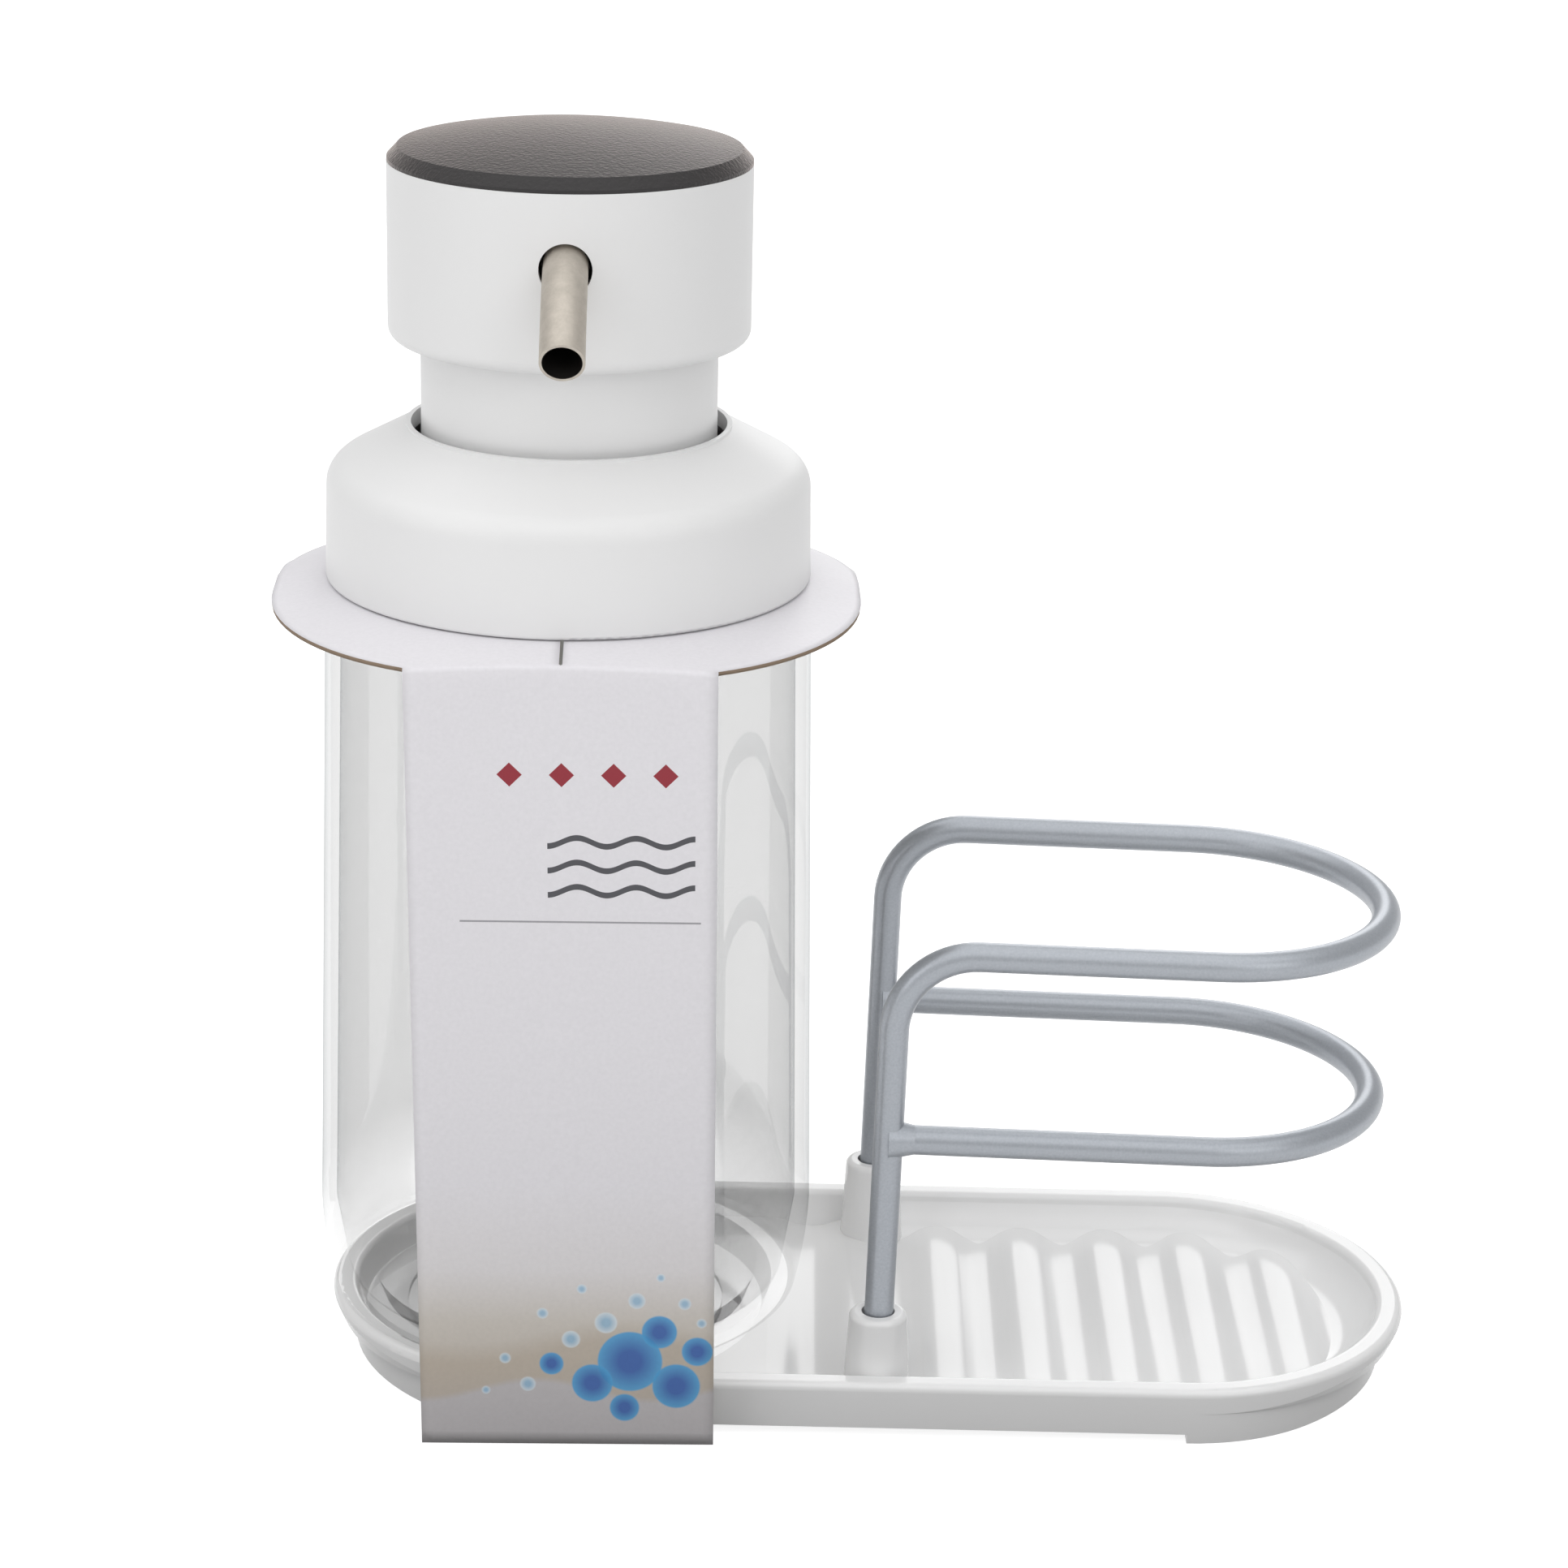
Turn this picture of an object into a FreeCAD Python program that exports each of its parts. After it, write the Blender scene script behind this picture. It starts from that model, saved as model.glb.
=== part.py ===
import FreeCAD, Part
import math
import os
import Sketcher
from FreeCAD import Placement, Rotation, Vector

# Soap pump caddy, in millimetres. X runs along the tray, Y away from the front, Z up.
# The origin is the middle of the tray on the table.

doc = FreeCAD.newDocument("soap_pump_caddy")
sheet = doc.addObject("Spreadsheet::Sheet", "Dims")

DIMENSIONS = [
    # tray
    ("tray_length", 160.4, "tray, end to end"),
    ("tray_width", 69.5, "tray, front to back, also twice the radius of its ends"),
    ("rim_height", 8.2, "rim top above the table"),
    ("rim_lip", 3.5, "flat width of the rim"),
    ("rim_round", 1.1, "rounding of both rim edges"),
    ("well_lean", 1.35, "how far the inner wall leans in from rim to floor"),
    ("cove_width", 5.5, "cove between the sponge floor and the wall, along the floor"),
    ("cove_height", 4.0, "that cove, up the wall"),
    ("cove_bite", 0.3, "how far the cove is set into the wall and the floor"),
    ("foot_height", 1.4, "underside above the table"),
    ("foot_wall", 2.4, "width of the end feet"),
    ("floor_thickness", 1.5, "floor between the ribs"),
    ("rib_rise", 1.1, "rib crest above the floor between ribs"),
    ("rib_pitch", 13.1, "rib crest to rib crest"),
    ("rib_start", 15.0, "first crest, left of the middle"),
    ("skirt_height", 4.6, "top of the recessed end skirt"),
    ("skirt_inset", 3.3, "depth of the recess at the very end"),
    ("apron_inset", 1.05, "how far the outer wall draws in above the recess, at the very end"),
    ("boss_offset", 0.95, "wire sockets, right of the middle"),
    ("boss_height", 16.0, "socket top above the table"),
    ("boss_radius", 4.15, "socket boss at its top"),
    ("boss_draft", 3.0, "taper of the socket boss, degrees"),
    ("boss_round", 0.9, "rounding of the boss top"),
    ("socket_clearance", 0.3, "play of the wire in its socket"),
    ("socket_floor", 5.0, "bottom of the socket above the table"),
    # rack
    ("wire_diameter", 4.2, "rack wire"),
    ("hoop_width", 53.2, "leg to leg, wire centres"),
    ("hoop_reach", 71.5, "leg to the far end of a hoop, wire centres"),
    ("upper_height", 71.1, "upper hoop above the table"),
    ("lower_height", 42.95, "lower hoop above the table"),
    ("hoop_bend", 11.5, "bend from leg to run, wire centre"),
    ("rack_lean", 1.2, "lean of the rack in its sockets, degrees"),
    ("leg_gap", 0.3, "leg end above the socket floor"),
    ("weld_flare", 0.8, "how much wider the weld is than the wire"),
    ("weld_reach", 1.6, "length of the weld along the wire"),
    # bottle
    ("bottle_radius", 36.3, "bottle at its widest"),
    ("bottle_top_radius", 34.45, "bottle at the shoulder"),
    ("bottle_foot_radius", 34.6, "bottle at its lower edge"),
    ("flare_height", 14.0, "widest place above the lower edge"),
    ("flare_radius", 60.0, "round of the wall below the widest place"),
    ("bottle_height", 113.0, "seat to shoulder"),
    ("bottle_wall", 2.2, "bottle wall"),
    ("base_wall", 2.3, "bottle floor"),
    ("base_round", 1.6, "inner rounding at the bottle floor"),
    ("recess_radius", 23.6, "hollow under the bottle"),
    ("recess_depth", 0.8, "depth of that hollow"),
    ("foot_round", 1.2, "rounding of the lower edge"),
    ("shoulder_round", 1.2, "rounding of the shoulder"),
    ("plug_clearance", 0.35, "play of the plug in the tray"),
    ("seat_clearance", 0.05, "bottle above its seat"),
    ("rim_clearance", 0.3, "bottle edge above the rim"),
    ("neck_radius", 30.2, "neck, outside"),
    ("neck_wall", 2.2, "neck wall"),
    ("neck_height", 10.0, "neck above the shoulder"),
    # card
    ("card_thickness", 0.6, "board thickness"),
    ("card_width", 82.4, "card ring, side to side"),
    ("panel_gap", 4.1, "panels clear of the bottle's widest place"),
    ("card_side", 16.0, "straight length of the ring's sides"),
    ("card_droop", 8.7, "droop of the ring beyond the collar, degrees"),
    ("panel_width", 41.9, "front and back panels"),
    ("panel_clearance", 1.5, "panel end above the table"),
    ("card_hole_gap", 0.5, "card hole around the neck"),
    ("card_slit", 0.5, "slit from the hole to the front fold"),
    ("card_gap", 0.15, "card to shoulder and to collar"),
    ("front_turn", 1.7, "turn of the card and the spout to the right, degrees"),
    # collar and closure
    ("collar_radius", 34.3, "collar at its lower edge"),
    ("collar_top_radius", 34.0, "collar at the shoulder corner"),
    ("collar_corner", 15.5, "shoulder corner above the lower edge"),
    ("collar_height", 21.9, "lip above the lower edge"),
    ("collar_hole", 22.15, "hole for the sleeve"),
    ("collar_lip", 0.7, "width of the lip round the hole"),
    ("lip_rise", 0.4, "lip above the slope"),
    ("collar_wall", 1.9, "collar wall"),
    ("collar_round", 4.0, "rounding of the shoulder corner"),
    ("collar_edge", 0.5, "rounding of the lower edge"),
    ("closure_gap", 0.1, "collar to closure ring"),
    ("closure_rise", 0.6, "closure ring above the collar's lower edge"),
    ("closure_flange", 1.7, "thickness of the closure's top"),
    ("closure_mouth", 24.0, "opening in the closure's top"),
    ("thread_clearance", 0.3, "closure to neck"),
    ("thread_rise", 0.18, "height of the thread beads"),
    ("thread_pitch", 4.0, "lift in one turn of the collar"),
    ("gasket_thickness", 1.0, "neck gasket"),
    ("gasket_inset", 0.4, "gasket inside the neck's edge"),
    ("gasket_width", 3.4, "gasket ring"),
    # pump
    ("flange_thickness", 1.6, "housing flange"),
    ("flange_gap", 0.1, "flange to closure"),
    ("cup_clearance", 1.15, "sleeve to housing cup"),
    ("cup_wall", 1.5, "wall of the housing cup"),
    ("cup_depth", 4.0, "depth of the housing cup"),
    ("cup_floor", 1.6, "floor of the housing cup"),
    ("cylinder_radius", 7.6, "cylinder bore"),
    ("cylinder_wall", 1.5, "cylinder wall"),
    ("cylinder_depth", 38.0, "cylinder below the cup"),
    ("port_radius", 1.6, "inlet port and stem bore"),
    ("port_length", 2.2, "length of the inlet port"),
    ("tail_wall", 1.3, "wall of the tail"),
    ("tail_length", 10.0, "tail below the port"),
    ("tube_radius", 3.0, "dip tube"),
    ("tube_wall", 0.8, "dip tube wall"),
    ("tube_fit", 0.05, "dip tube in the tail"),
    ("tube_gap", 1.8, "dip tube above the bottle floor"),
    ("lock_radius", 11.5, "lock cap"),
    ("lock_flange", 1.5, "lock cap above the cup floor"),
    ("lock_skirt", 6.5, "lock cap in the cylinder"),
    ("lock_fit", 0.05, "lock cap in the cylinder, play"),
    ("stem_radius", 4.0, "stem"),
    ("stem_fit", 0.08, "stem in the lock cap and in the piston"),
    ("stem_flange", 1.2, "flange of the stem on the piston"),
    ("stem_flange_radius", 5.6, "that flange"),
    ("stem_below", 4.0, "stem below the piston"),
    ("stem_length", 48.0, "stem"),
    ("chamber_radius", 2.6, "ball chamber in the stem"),
    ("chamber_depth", 8.5, "depth of the ball chamber"),
    ("outlet_radius", 2.3, "outlet ball"),
    ("inlet_radius", 2.6, "inlet ball"),
    ("ball_gap", 0.03, "ball above its seat"),
    ("piston_radius", 6.4, "piston"),
    ("piston_length", 10.0, "piston"),
    ("piston_gap", 0.4, "stem flange below the lock cap"),
    ("seal_height", 4.0, "piston seal"),
    ("seal_groove", 1.2, "depth of the seal's groove"),
    ("seal_fit", 0.05, "seal in the cylinder"),
    ("spring_radius", 5.5, "spring, wire centre"),
    ("spring_wire", 0.9, "spring wire"),
    ("spring_gap", 0.1, "spring to cylinder floor and to piston"),
    # head
    ("press_travel", 11.0, "stroke of the head"),
    ("head_gap", 1.1, "pressed head above the collar"),
    ("head_radius", 25.25, "pump head"),
    ("head_height", 24.6, "pump head without its pad"),
    ("head_wall", 2.0, "wall of the head"),
    ("head_floor", 2.0, "floor ring of the head"),
    ("head_round", 1.7, "rounding of the head's lower edge"),
    ("head_plate", 2.2, "plate under the pad"),
    ("sleeve_radius", 20.75, "plunger sleeve"),
    ("sleeve_wall", 1.6, "wall of the sleeve"),
    ("sleeve_fit", 0.1, "sleeve in the head's floor"),
    ("sleeve_gap", 0.5, "pressed sleeve above the cup"),
    ("sleeve_flange", 1.5, "flange on top of the sleeve"),
    ("pad_inset", 0.05, "pad edge inside the head's edge"),
    ("pad_recess", 2.0, "depth of the pad in the head"),
    ("pad_fit", 0.1, "pad in its recess"),
    ("pad_edge", 0.5, "upright edge of the pad"),
    ("ridge_radius", 23.8, "ridge round the pad"),
    ("ridge_height", 2.0, "ridge above the head"),
    ("dome_rise", 2.6, "dome above the ridge"),
    # actuator and spout
    ("post_radius", 7.0, "actuator post"),
    ("stem_socket", 12.0, "stem in the actuator"),
    ("disc_radius", 16.0, "disc under the head's plate"),
    ("disc_thickness", 1.6, "that disc"),
    ("elbow_radius", 4.5, "boss for the spout"),
    ("spout_height", 15.7, "spout above the head's lower edge"),
    ("spout_radius", 3.05, "spout tube"),
    ("spout_wall", 0.45, "spout wall"),
    ("spout_fit", 0.03, "spout in its boss"),
    ("spout_grip", 7.0, "straight length held in the boss"),
    ("elbow_reach", 15.1, "pump axis to the start of the bend"),
    ("spout_bend", 33.0, "bend of the spout, tube centre"),
    ("spout_turn", 47.0, "turn of the spout, degrees"),
    ("spout_trim", 30.0, "how far the mouth faces below level, degrees"),
    ("spout_spare", 2.5, "tube length that the slanted end is cut from"),
    ("spout_play", 0.55, "spout in the head's hole"),
    ("overrun", 5.0, "how far a cut runs past the material"),
]
SPRING_TURNS = 7
THREAD_BEADS = 2
MATCH = 1e-4

for row, (alias, amount, meaning) in enumerate(DIMENSIONS, 1):
    sheet.set(f"A{row}", meaning)
    sheet.set(f"B{row}", str(amount))
    sheet.setAlias(f"B{row}", alias)
doc.recompute()


class Size:
    """A dimension as the formula that drives the model and as its present number."""

    def __init__(self, formula, number):
        self.formula = formula
        self.number = number

    def __add__(self, other):
        other = lift(other)
        return Size(f"({self.formula} + {other.formula})", self.number + other.number)

    def __sub__(self, other):
        other = lift(other)
        return Size(f"({self.formula} - {other.formula})", self.number - other.number)

    def __mul__(self, other):
        other = lift(other)
        return Size(f"({self.formula} * {other.formula})", self.number * other.number)

    def __truediv__(self, other):
        other = lift(other)
        return Size(f"({self.formula} / {other.formula})", self.number / other.number)

    def __neg__(self):
        return Size(f"(-1 * {self.formula})", -self.number)


def lift(value):
    return value if isinstance(value, Size) else Size(str(value), value)


def root(size):
    return Size(f"sqrt({size.formula})", math.sqrt(size.number))


def slope(rise, run):
    ratio = rise / run
    return Size(f"atan({ratio.formula})", math.degrees(math.atan(ratio.number)))


def cosine(angle):
    return Size(f"cos({angle.formula} * 1deg)", math.cos(math.radians(angle.number)))


def sine(angle):
    return Size(f"sin({angle.formula} * 1deg)", math.sin(math.radians(angle.number)))


def tangent(angle):
    return sine(angle) / cosine(angle)


def cap_radius(chord, sagitta):
    """Radius of the arc that rises by the sagitta over half of the chord."""
    half = chord / 2
    return (half * half + sagitta * sagitta) / (sagitta * 2)


class Sizes:
    """The sheet's cells by name."""


dim = Sizes()
for alias, amount, meaning in DIMENSIONS:
    setattr(dim, alias, Size(f"Dims.{alias}", float(sheet.get(alias))))

finished = []


def drive(feature, prop, size):
    feature.setExpression(prop, size.formula)


def new_body(label):
    body = doc.addObject("PartDesign::Body", label)
    finished.append(body)
    return body


def new_sketch(body, name, role, level=None):
    sketch = body.newObject("Sketcher::SketchObject", name)
    plane = [item for item in body.Origin.OriginFeatures if item.Role == role][0]
    sketch.AttachmentSupport = [(plane, "")]
    sketch.MapMode = "FlatFace"
    if level:
        drive(sketch, "AttachmentOffset.Base.z", level)
    return sketch


def limit(sketch, kind, where, size):
    index = sketch.addConstraint(Sketcher.Constraint(kind, *where, size.number))
    drive(sketch, f"Constraints[{index}]", size)


def pin(sketch, geometry, end, spot):
    """Holds a point of the sketch at its two distances from the origin."""
    for kind, axis, size in (("DistanceX", -2, spot[0]), ("DistanceY", -1, spot[1])):
        if isinstance(size, Size):
            limit(sketch, kind, (-1, 1, geometry, end), size)
        else:
            sketch.addConstraint(Sketcher.Constraint("PointOnObject", geometry, end, axis))


def flat(spot):
    return Vector(lift(spot[0]).number, lift(spot[1]).number, 0)


def arc_between(start, stop, radius, turn):
    """The shorter arc from start to stop that turns left (1) or right (-1)."""
    chord = stop - start
    left = Vector(-chord.y, chord.x, 0).normalize()
    centre = (start + stop) / 2 + left * turn * math.sqrt(max(radius ** 2 - chord.Length ** 2 / 4, 0))
    first, last = (start, stop) if turn > 0 else (stop, start)
    angles = [math.atan2(end.y - centre.y, end.x - centre.x) for end in (first, last)]
    circle = Part.Circle(centre, Vector(0, 0, 1), radius)
    return Part.ArcOfCircle(circle, angles[0], angles[1])


def trace(sketch, spots, arcs={}):
    """Draws a closed outline; arcs gives the turn and radius of the stretches that are round."""
    ends = []
    for index, spot in enumerate(spots):
        start = flat(spot)
        stop = flat(spots[(index + 1) % len(spots)])
        if index not in arcs:
            ends.append((sketch.addGeometry(Part.LineSegment(start, stop)), 1, 2))
            continue
        turn, radius = arcs[index]
        geometry = sketch.addGeometry(arc_between(start, stop, radius.number, turn))
        ends.append((geometry, 1, 2) if turn > 0 else (geometry, 2, 1))
        if (stop - start).Length < 2 * radius.number - MATCH:
            limit(sketch, "Radius", (geometry,), radius)
        else:
            limit(sketch, "DistanceX", (-1, 1, geometry, 3), spot[0])
    for index, (geometry, start, stop) in enumerate(ends):
        before = ends[index - 1]
        sketch.addConstraint(Sketcher.Constraint("Coincident", before[0], before[2], geometry, start))
        pin(sketch, geometry, start, spots[index])


def ring(sketch, spot, radius):
    """Draws a circle."""
    circle = Part.Circle(flat(spot), Vector(0, 0, 1), radius.number)
    geometry = sketch.addGeometry(circle)
    limit(sketch, "Radius", (geometry,), radius)
    if isinstance(spot[0], Size) or isinstance(spot[1], Size):
        pin(sketch, geometry, 3, spot)
    else:
        sketch.addConstraint(Sketcher.Constraint("Coincident", geometry, 3, -1, 1))


def slot(sketch, half_span, radius):
    """Draws an outline with two straight sides and round ends."""
    spots = [(-half_span, -radius), (half_span, -radius), (half_span, radius), (-half_span, radius)]
    trace(sketch, spots, {1: (1, radius), 3: (1, radius)})


def square(half_x, half_y):
    """The corners of a rectangle about the origin."""
    return [(-half_x, -half_y), (half_x, -half_y), (half_x, half_y), (-half_x, half_y)]


def extrude(body, kind, sketch, length, side="One side", back=False, taper=None):
    feature = body.newObject(f"PartDesign::{kind}", f"{sketch.Name}_{kind.lower()}")
    feature.Profile = sketch
    feature.SideType = side
    feature.Reversed = back
    drive(feature, "Length", length)
    if taper:
        drive(feature, "TaperAngle", taper)
    doc.recompute()
    return feature


def soften(body, feature, names, radius):
    """Rounds the named edges of the last feature."""
    fillet = body.newObject("PartDesign::Fillet", f"{feature.Name}_round")
    fillet.Base = (feature, names)
    drive(fillet, "Radius", radius)
    doc.recompute()
    return fillet


def level_edges(feature, level):
    """Names of the edges that lie flat at a height."""
    names = []
    for index, edge in enumerate(feature.Shape.Edges, 1):
        box = edge.BoundBox
        if abs(box.ZMin - level.number) < MATCH and abs(box.ZMax - level.number) < MATCH:
            names.append(f"Edge{index}")
    return names


def circle_edges(feature, radius, level):
    """Names of the circles of one radius at a height."""
    names = []
    for name in level_edges(feature, level):
        curve = feature.Shape.getElement(name).Curve
        if hasattr(curve, "Radius") and abs(curve.Radius - radius.number) < MATCH:
            names.append(name)
    return names


def on_axis(item):
    """Stands a piece on the pump's axis, turned as the pump is."""
    item.Placement = Placement(Vector(0, 0, 0), Rotation(Vector(0, 0, 1), dim.front_turn.number))
    drive(item, "Placement.Base.x", PUMP_X)


def turn(body, kind, sketch):
    """Turns a sketch of radii and heights a full turn about its upright axis."""
    feature = body.newObject(f"PartDesign::{kind}", f"{sketch.Name}_{kind.lower()}")
    feature.Profile = sketch
    feature.ReferenceAxis = (sketch, ["V_Axis"])
    feature.Angle = 360
    doc.recompute()
    return feature


def turned(label, spots, arcs={}):
    """A piece turned about the pump's axis from an outline of radii and heights."""
    body = new_body(label)
    sketch = new_sketch(body, f"{label}_outline", "XZ_Plane")
    trace(sketch, spots, arcs)
    feature = turn(body, "Revolution", sketch)
    on_axis(body)
    return body, feature


def shaped(label, shape):
    """Keeps a shape that no sketch can hold, such as a wire bent in two planes."""
    item = doc.addObject("Part::Feature", label)
    item.Shape = shape
    finished.append(item)
    return item


def three_arc(start, middle, stop):
    return Part.Arc(start, middle, stop).toShape()


def swept(edges, radius):
    """A round wire along edges that follow each other smoothly."""
    path = Part.Wire(edges)
    first = edges[0]
    start = first.valueAt(first.FirstParameter)
    heading = first.tangentAt(first.FirstParameter)
    section = Part.Wire(Part.makeCircle(radius, start, heading))
    return path.makePipeShell([section], True, False)


def blunt_end(span, side, reach, half):
    """A tray end that reaches less far than it is wide: three arcs that run on from the straight sides."""
    tight = reach * reach / half
    drop = half - tight
    broad = (reach * reach + drop * drop - tight * tight) / ((reach - tight) * 2)
    stretch = broad / (broad - tight)
    join_x = span + (reach - broad + (broad - reach) * stretch) * side
    join_y = drop * stretch
    spots = [(span, half), (join_x, join_y), (join_x, -join_y), (span, -half)]
    return spots, {0: (-side, tight), 1: (-side, broad), 2: (-side, tight)}


# Heights and places that follow from the sizes.
END_RADIUS = dim.tray_width / 2
HALF_SPAN = dim.tray_length / 2 - END_RADIUS
PUMP_X = -HALF_SPAN
VALLEY = dim.foot_height + dim.floor_thickness
SEAT = VALLEY + dim.rib_rise
WIRE = dim.wire_diameter / 2
BASE = SEAT + dim.seat_clearance
BODY_FOOT = dim.rim_height + dim.rim_clearance
SHOULDER = BASE + dim.bottle_height
CARD_LOW = SHOULDER + dim.card_gap
CARD_TOP = CARD_LOW + dim.card_thickness
COLLAR_LOW = CARD_TOP + dim.card_gap
LIP = COLLAR_LOW + dim.collar_height
NECK_TOP = SHOULDER + dim.neck_height
FLANGE_LOW = NECK_TOP + dim.gasket_thickness
FLANGE_TOP = FLANGE_LOW + dim.flange_thickness
CUP_TOP = FLANGE_TOP - dim.cup_depth
CUP_LOW = CUP_TOP - dim.cup_floor
CYLINDER_LOW = CUP_LOW - dim.cylinder_depth
PORT_LOW = CYLINDER_LOW - dim.port_length
PISTON_TOP = CUP_TOP - dim.lock_skirt - dim.piston_gap - dim.stem_flange
PISTON_LOW = PISTON_TOP - dim.piston_length
STEM_LOW = PISTON_LOW - dim.stem_below
STEM_TOP = STEM_LOW + dim.stem_length
HEAD_LOW = LIP + dim.press_travel + dim.head_gap
HEAD_TOP = HEAD_LOW + dim.head_height
PLATE_LOW = HEAD_TOP - dim.pad_recess - dim.head_plate
SPOUT_Z = HEAD_LOW + dim.spout_height
SLEEVE_LOW = CUP_TOP + dim.press_travel + dim.sleeve_gap
SLEEVE_TOP = HEAD_LOW + dim.head_floor + dim.sleeve_flange
HEAD_BORE = dim.head_radius - dim.head_wall

# Tray: a slab whose top is flat under the bottle and waved under the sponge, a rim with leaning
# walls and a cove along its foot, two tapered sockets, and end skirts set back below a step that
# carry the two feet. There are as many ribs as the pitch lets in.
tray = new_body("tray")
half_length = dim.tray_length / 2
well_top = END_RADIUS - dim.rim_lip
well_low = well_top - dim.well_lean
well_tilt = slope(dim.well_lean, dim.rim_height - SEAT)
sketch = new_sketch(tray, "tray_slab", "XY_Plane", dim.foot_height)
slot(sketch, HALF_SPAN, END_RADIUS)
extrude(tray, "Pad", sketch, dim.rim_height - dim.foot_height)
sketch = new_sketch(tray, "tray_well", "XY_Plane", dim.rim_height)
slot(sketch, HALF_SPAN, well_top)
feature = extrude(tray, "Pocket", sketch, dim.rim_height - VALLEY, taper=-well_tilt)
soften(tray, feature, level_edges(feature, dim.rim_height), dim.rim_round)

half_rise = VALLEY + dim.rib_rise / 2
quarter = dim.rib_pitch / 4
wave = cap_radius(dim.rib_pitch / 2, dim.rib_rise / 2)
rib_room = half_length + dim.rib_start - dim.rib_pitch / 2
ribs = int((rib_room / dim.rib_pitch).number) + 1
crests = [dim.rib_pitch * count - dim.rib_start for count in range(ribs)]
spots = [(-half_length, dim.foot_height), (half_length, dim.foot_height), (half_length, VALLEY)]
arcs = {len(spots): (-1, wave)}
spots.append((crests[-1] + dim.rib_pitch / 2, VALLEY))
for crest in reversed(crests[1:]):
    arcs[len(spots)] = (1, wave)
    spots.append((crest + quarter, half_rise))
    arcs[len(spots)] = (-1, wave)
    spots.append((crest - quarter, half_rise))
arcs[len(spots)] = (1, wave)
spots.append((crests[0] + quarter, half_rise))
spots.append((crests[0], SEAT))
spots.append((-half_length, SEAT))
sketch = new_sketch(tray, "tray_floor", "XZ_Plane")
trace(sketch, spots, arcs)
extrude(tray, "Pad", sketch, dim.tray_width, side="Symmetric")
sketch = new_sketch(tray, "tray_trim", "XY_Plane", dim.rim_height)
slot(sketch, HALF_SPAN, END_RADIUS)
far_x = half_length + dim.overrun
far_y = END_RADIUS + dim.overrun
trace(sketch, square(far_x, far_y))
extrude(tray, "Pocket", sketch, dim.rim_height)

boss_x = dim.boss_offset
leg_y = dim.hoop_width / 2
boss_rise = dim.boss_height - dim.foot_height
sketch = new_sketch(tray, "tray_bosses", "XY_Plane", dim.foot_height)
boss_foot = dim.boss_radius + boss_rise * tangent(dim.boss_draft)
ring(sketch, (boss_x, -leg_y), boss_foot)
ring(sketch, (boss_x, leg_y), boss_foot)
feature = extrude(tray, "Pad", sketch, boss_rise, taper=-dim.boss_draft)
soften(tray, feature, level_edges(feature, dim.boss_height), dim.boss_round)

sketch = new_sketch(tray, "tray_sockets", "XY_Plane", dim.boss_height)
ring(sketch, (boss_x, -leg_y), WIRE + dim.socket_clearance)
ring(sketch, (boss_x, leg_y), WIRE + dim.socket_clearance)
extrude(tray, "Pocket", sketch, dim.boss_height - dim.socket_floor)

skirt_reach = END_RADIUS - dim.skirt_inset
apron_reach = END_RADIUS - dim.apron_inset
apron_tilt = slope(dim.apron_inset, dim.rim_height - dim.rim_round - dim.skirt_height)
apron = new_sketch(tray, "tray_apron", "XY_Plane", dim.skirt_height)
skirt = new_sketch(tray, "tray_skirt", "XY_Plane", dim.skirt_height)
feet = new_sketch(tray, "tray_feet", "XY_Plane")
for side, span, beyond in ((1, HALF_SPAN, far_x), (-1, -HALF_SPAN, -far_x)):
    around = [(span, -far_y), (beyond, -far_y), (beyond, far_y), (span, far_y)]
    spots, arcs = blunt_end(span, side, apron_reach, END_RADIUS)
    trace(apron, spots + around, arcs)
    spots, arcs = blunt_end(span, side, skirt_reach, END_RADIUS)
    trace(skirt, spots + around, arcs)
    spots, arcs = blunt_end(span, side, skirt_reach - dim.foot_wall, END_RADIUS - dim.foot_wall)
    trace(feet, spots + [(span, -END_RADIUS), (span, END_RADIUS)], arcs | {len(spots): (side, END_RADIUS)})
extrude(tray, "Pad", feet, dim.foot_height)
extrude(tray, "Pocket", apron, dim.rim_height - dim.skirt_height, back=True, taper=-apron_tilt)
extrude(tray, "Pocket", skirt, dim.skirt_height)

cove_x = boss_x + WIRE
lean = dim.well_lean / (dim.rim_height - SEAT)
wall_foot = well_top - (dim.rim_height - VALLEY) * lean
wall_top = wall_foot + dim.cove_height * lean
cove_edge = wall_foot - dim.cove_width
cove_run = wall_top - cove_edge
cove = (cove_run * cove_run + dim.cove_height * dim.cove_height) / (dim.cove_height * 2)
cove_low = VALLEY - dim.cove_bite
cove_top = VALLEY + dim.cove_height
section = [(cove_edge, VALLEY), (wall_top, cove_top), (wall_top + dim.cove_bite, cove_top),
           (wall_foot + dim.cove_bite, cove_low), (cove_edge, cove_low)]
sketch = new_sketch(tray, "cove_sides", "YZ_Plane", cove_x)
trace(sketch, section, {0: (1, cove)})
trace(sketch, [(-across, level) for across, level in section], {0: (-1, cove)})
extrude(tray, "Pad", sketch, HALF_SPAN - cove_x)
sketch = new_sketch(tray, "cove_end", "XZ_Plane")
trace(sketch, [(HALF_SPAN + across, level) for across, level in section], {0: (1, cove)})
axis = sketch.addGeometry(Part.LineSegment(flat((HALF_SPAN, VALLEY)), flat((HALF_SPAN, cove_top))), True)
pin(sketch, axis, 1, (HALF_SPAN, VALLEY))
pin(sketch, axis, 2, (HALF_SPAN, cove_top))
feature = tray.newObject("PartDesign::Revolution", "cove_end_turn")
feature.Profile = sketch
feature.ReferenceAxis = (sketch, ["Axis0"])
feature.Angle = 180
feature.Midplane = True
doc.recompute()

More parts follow.
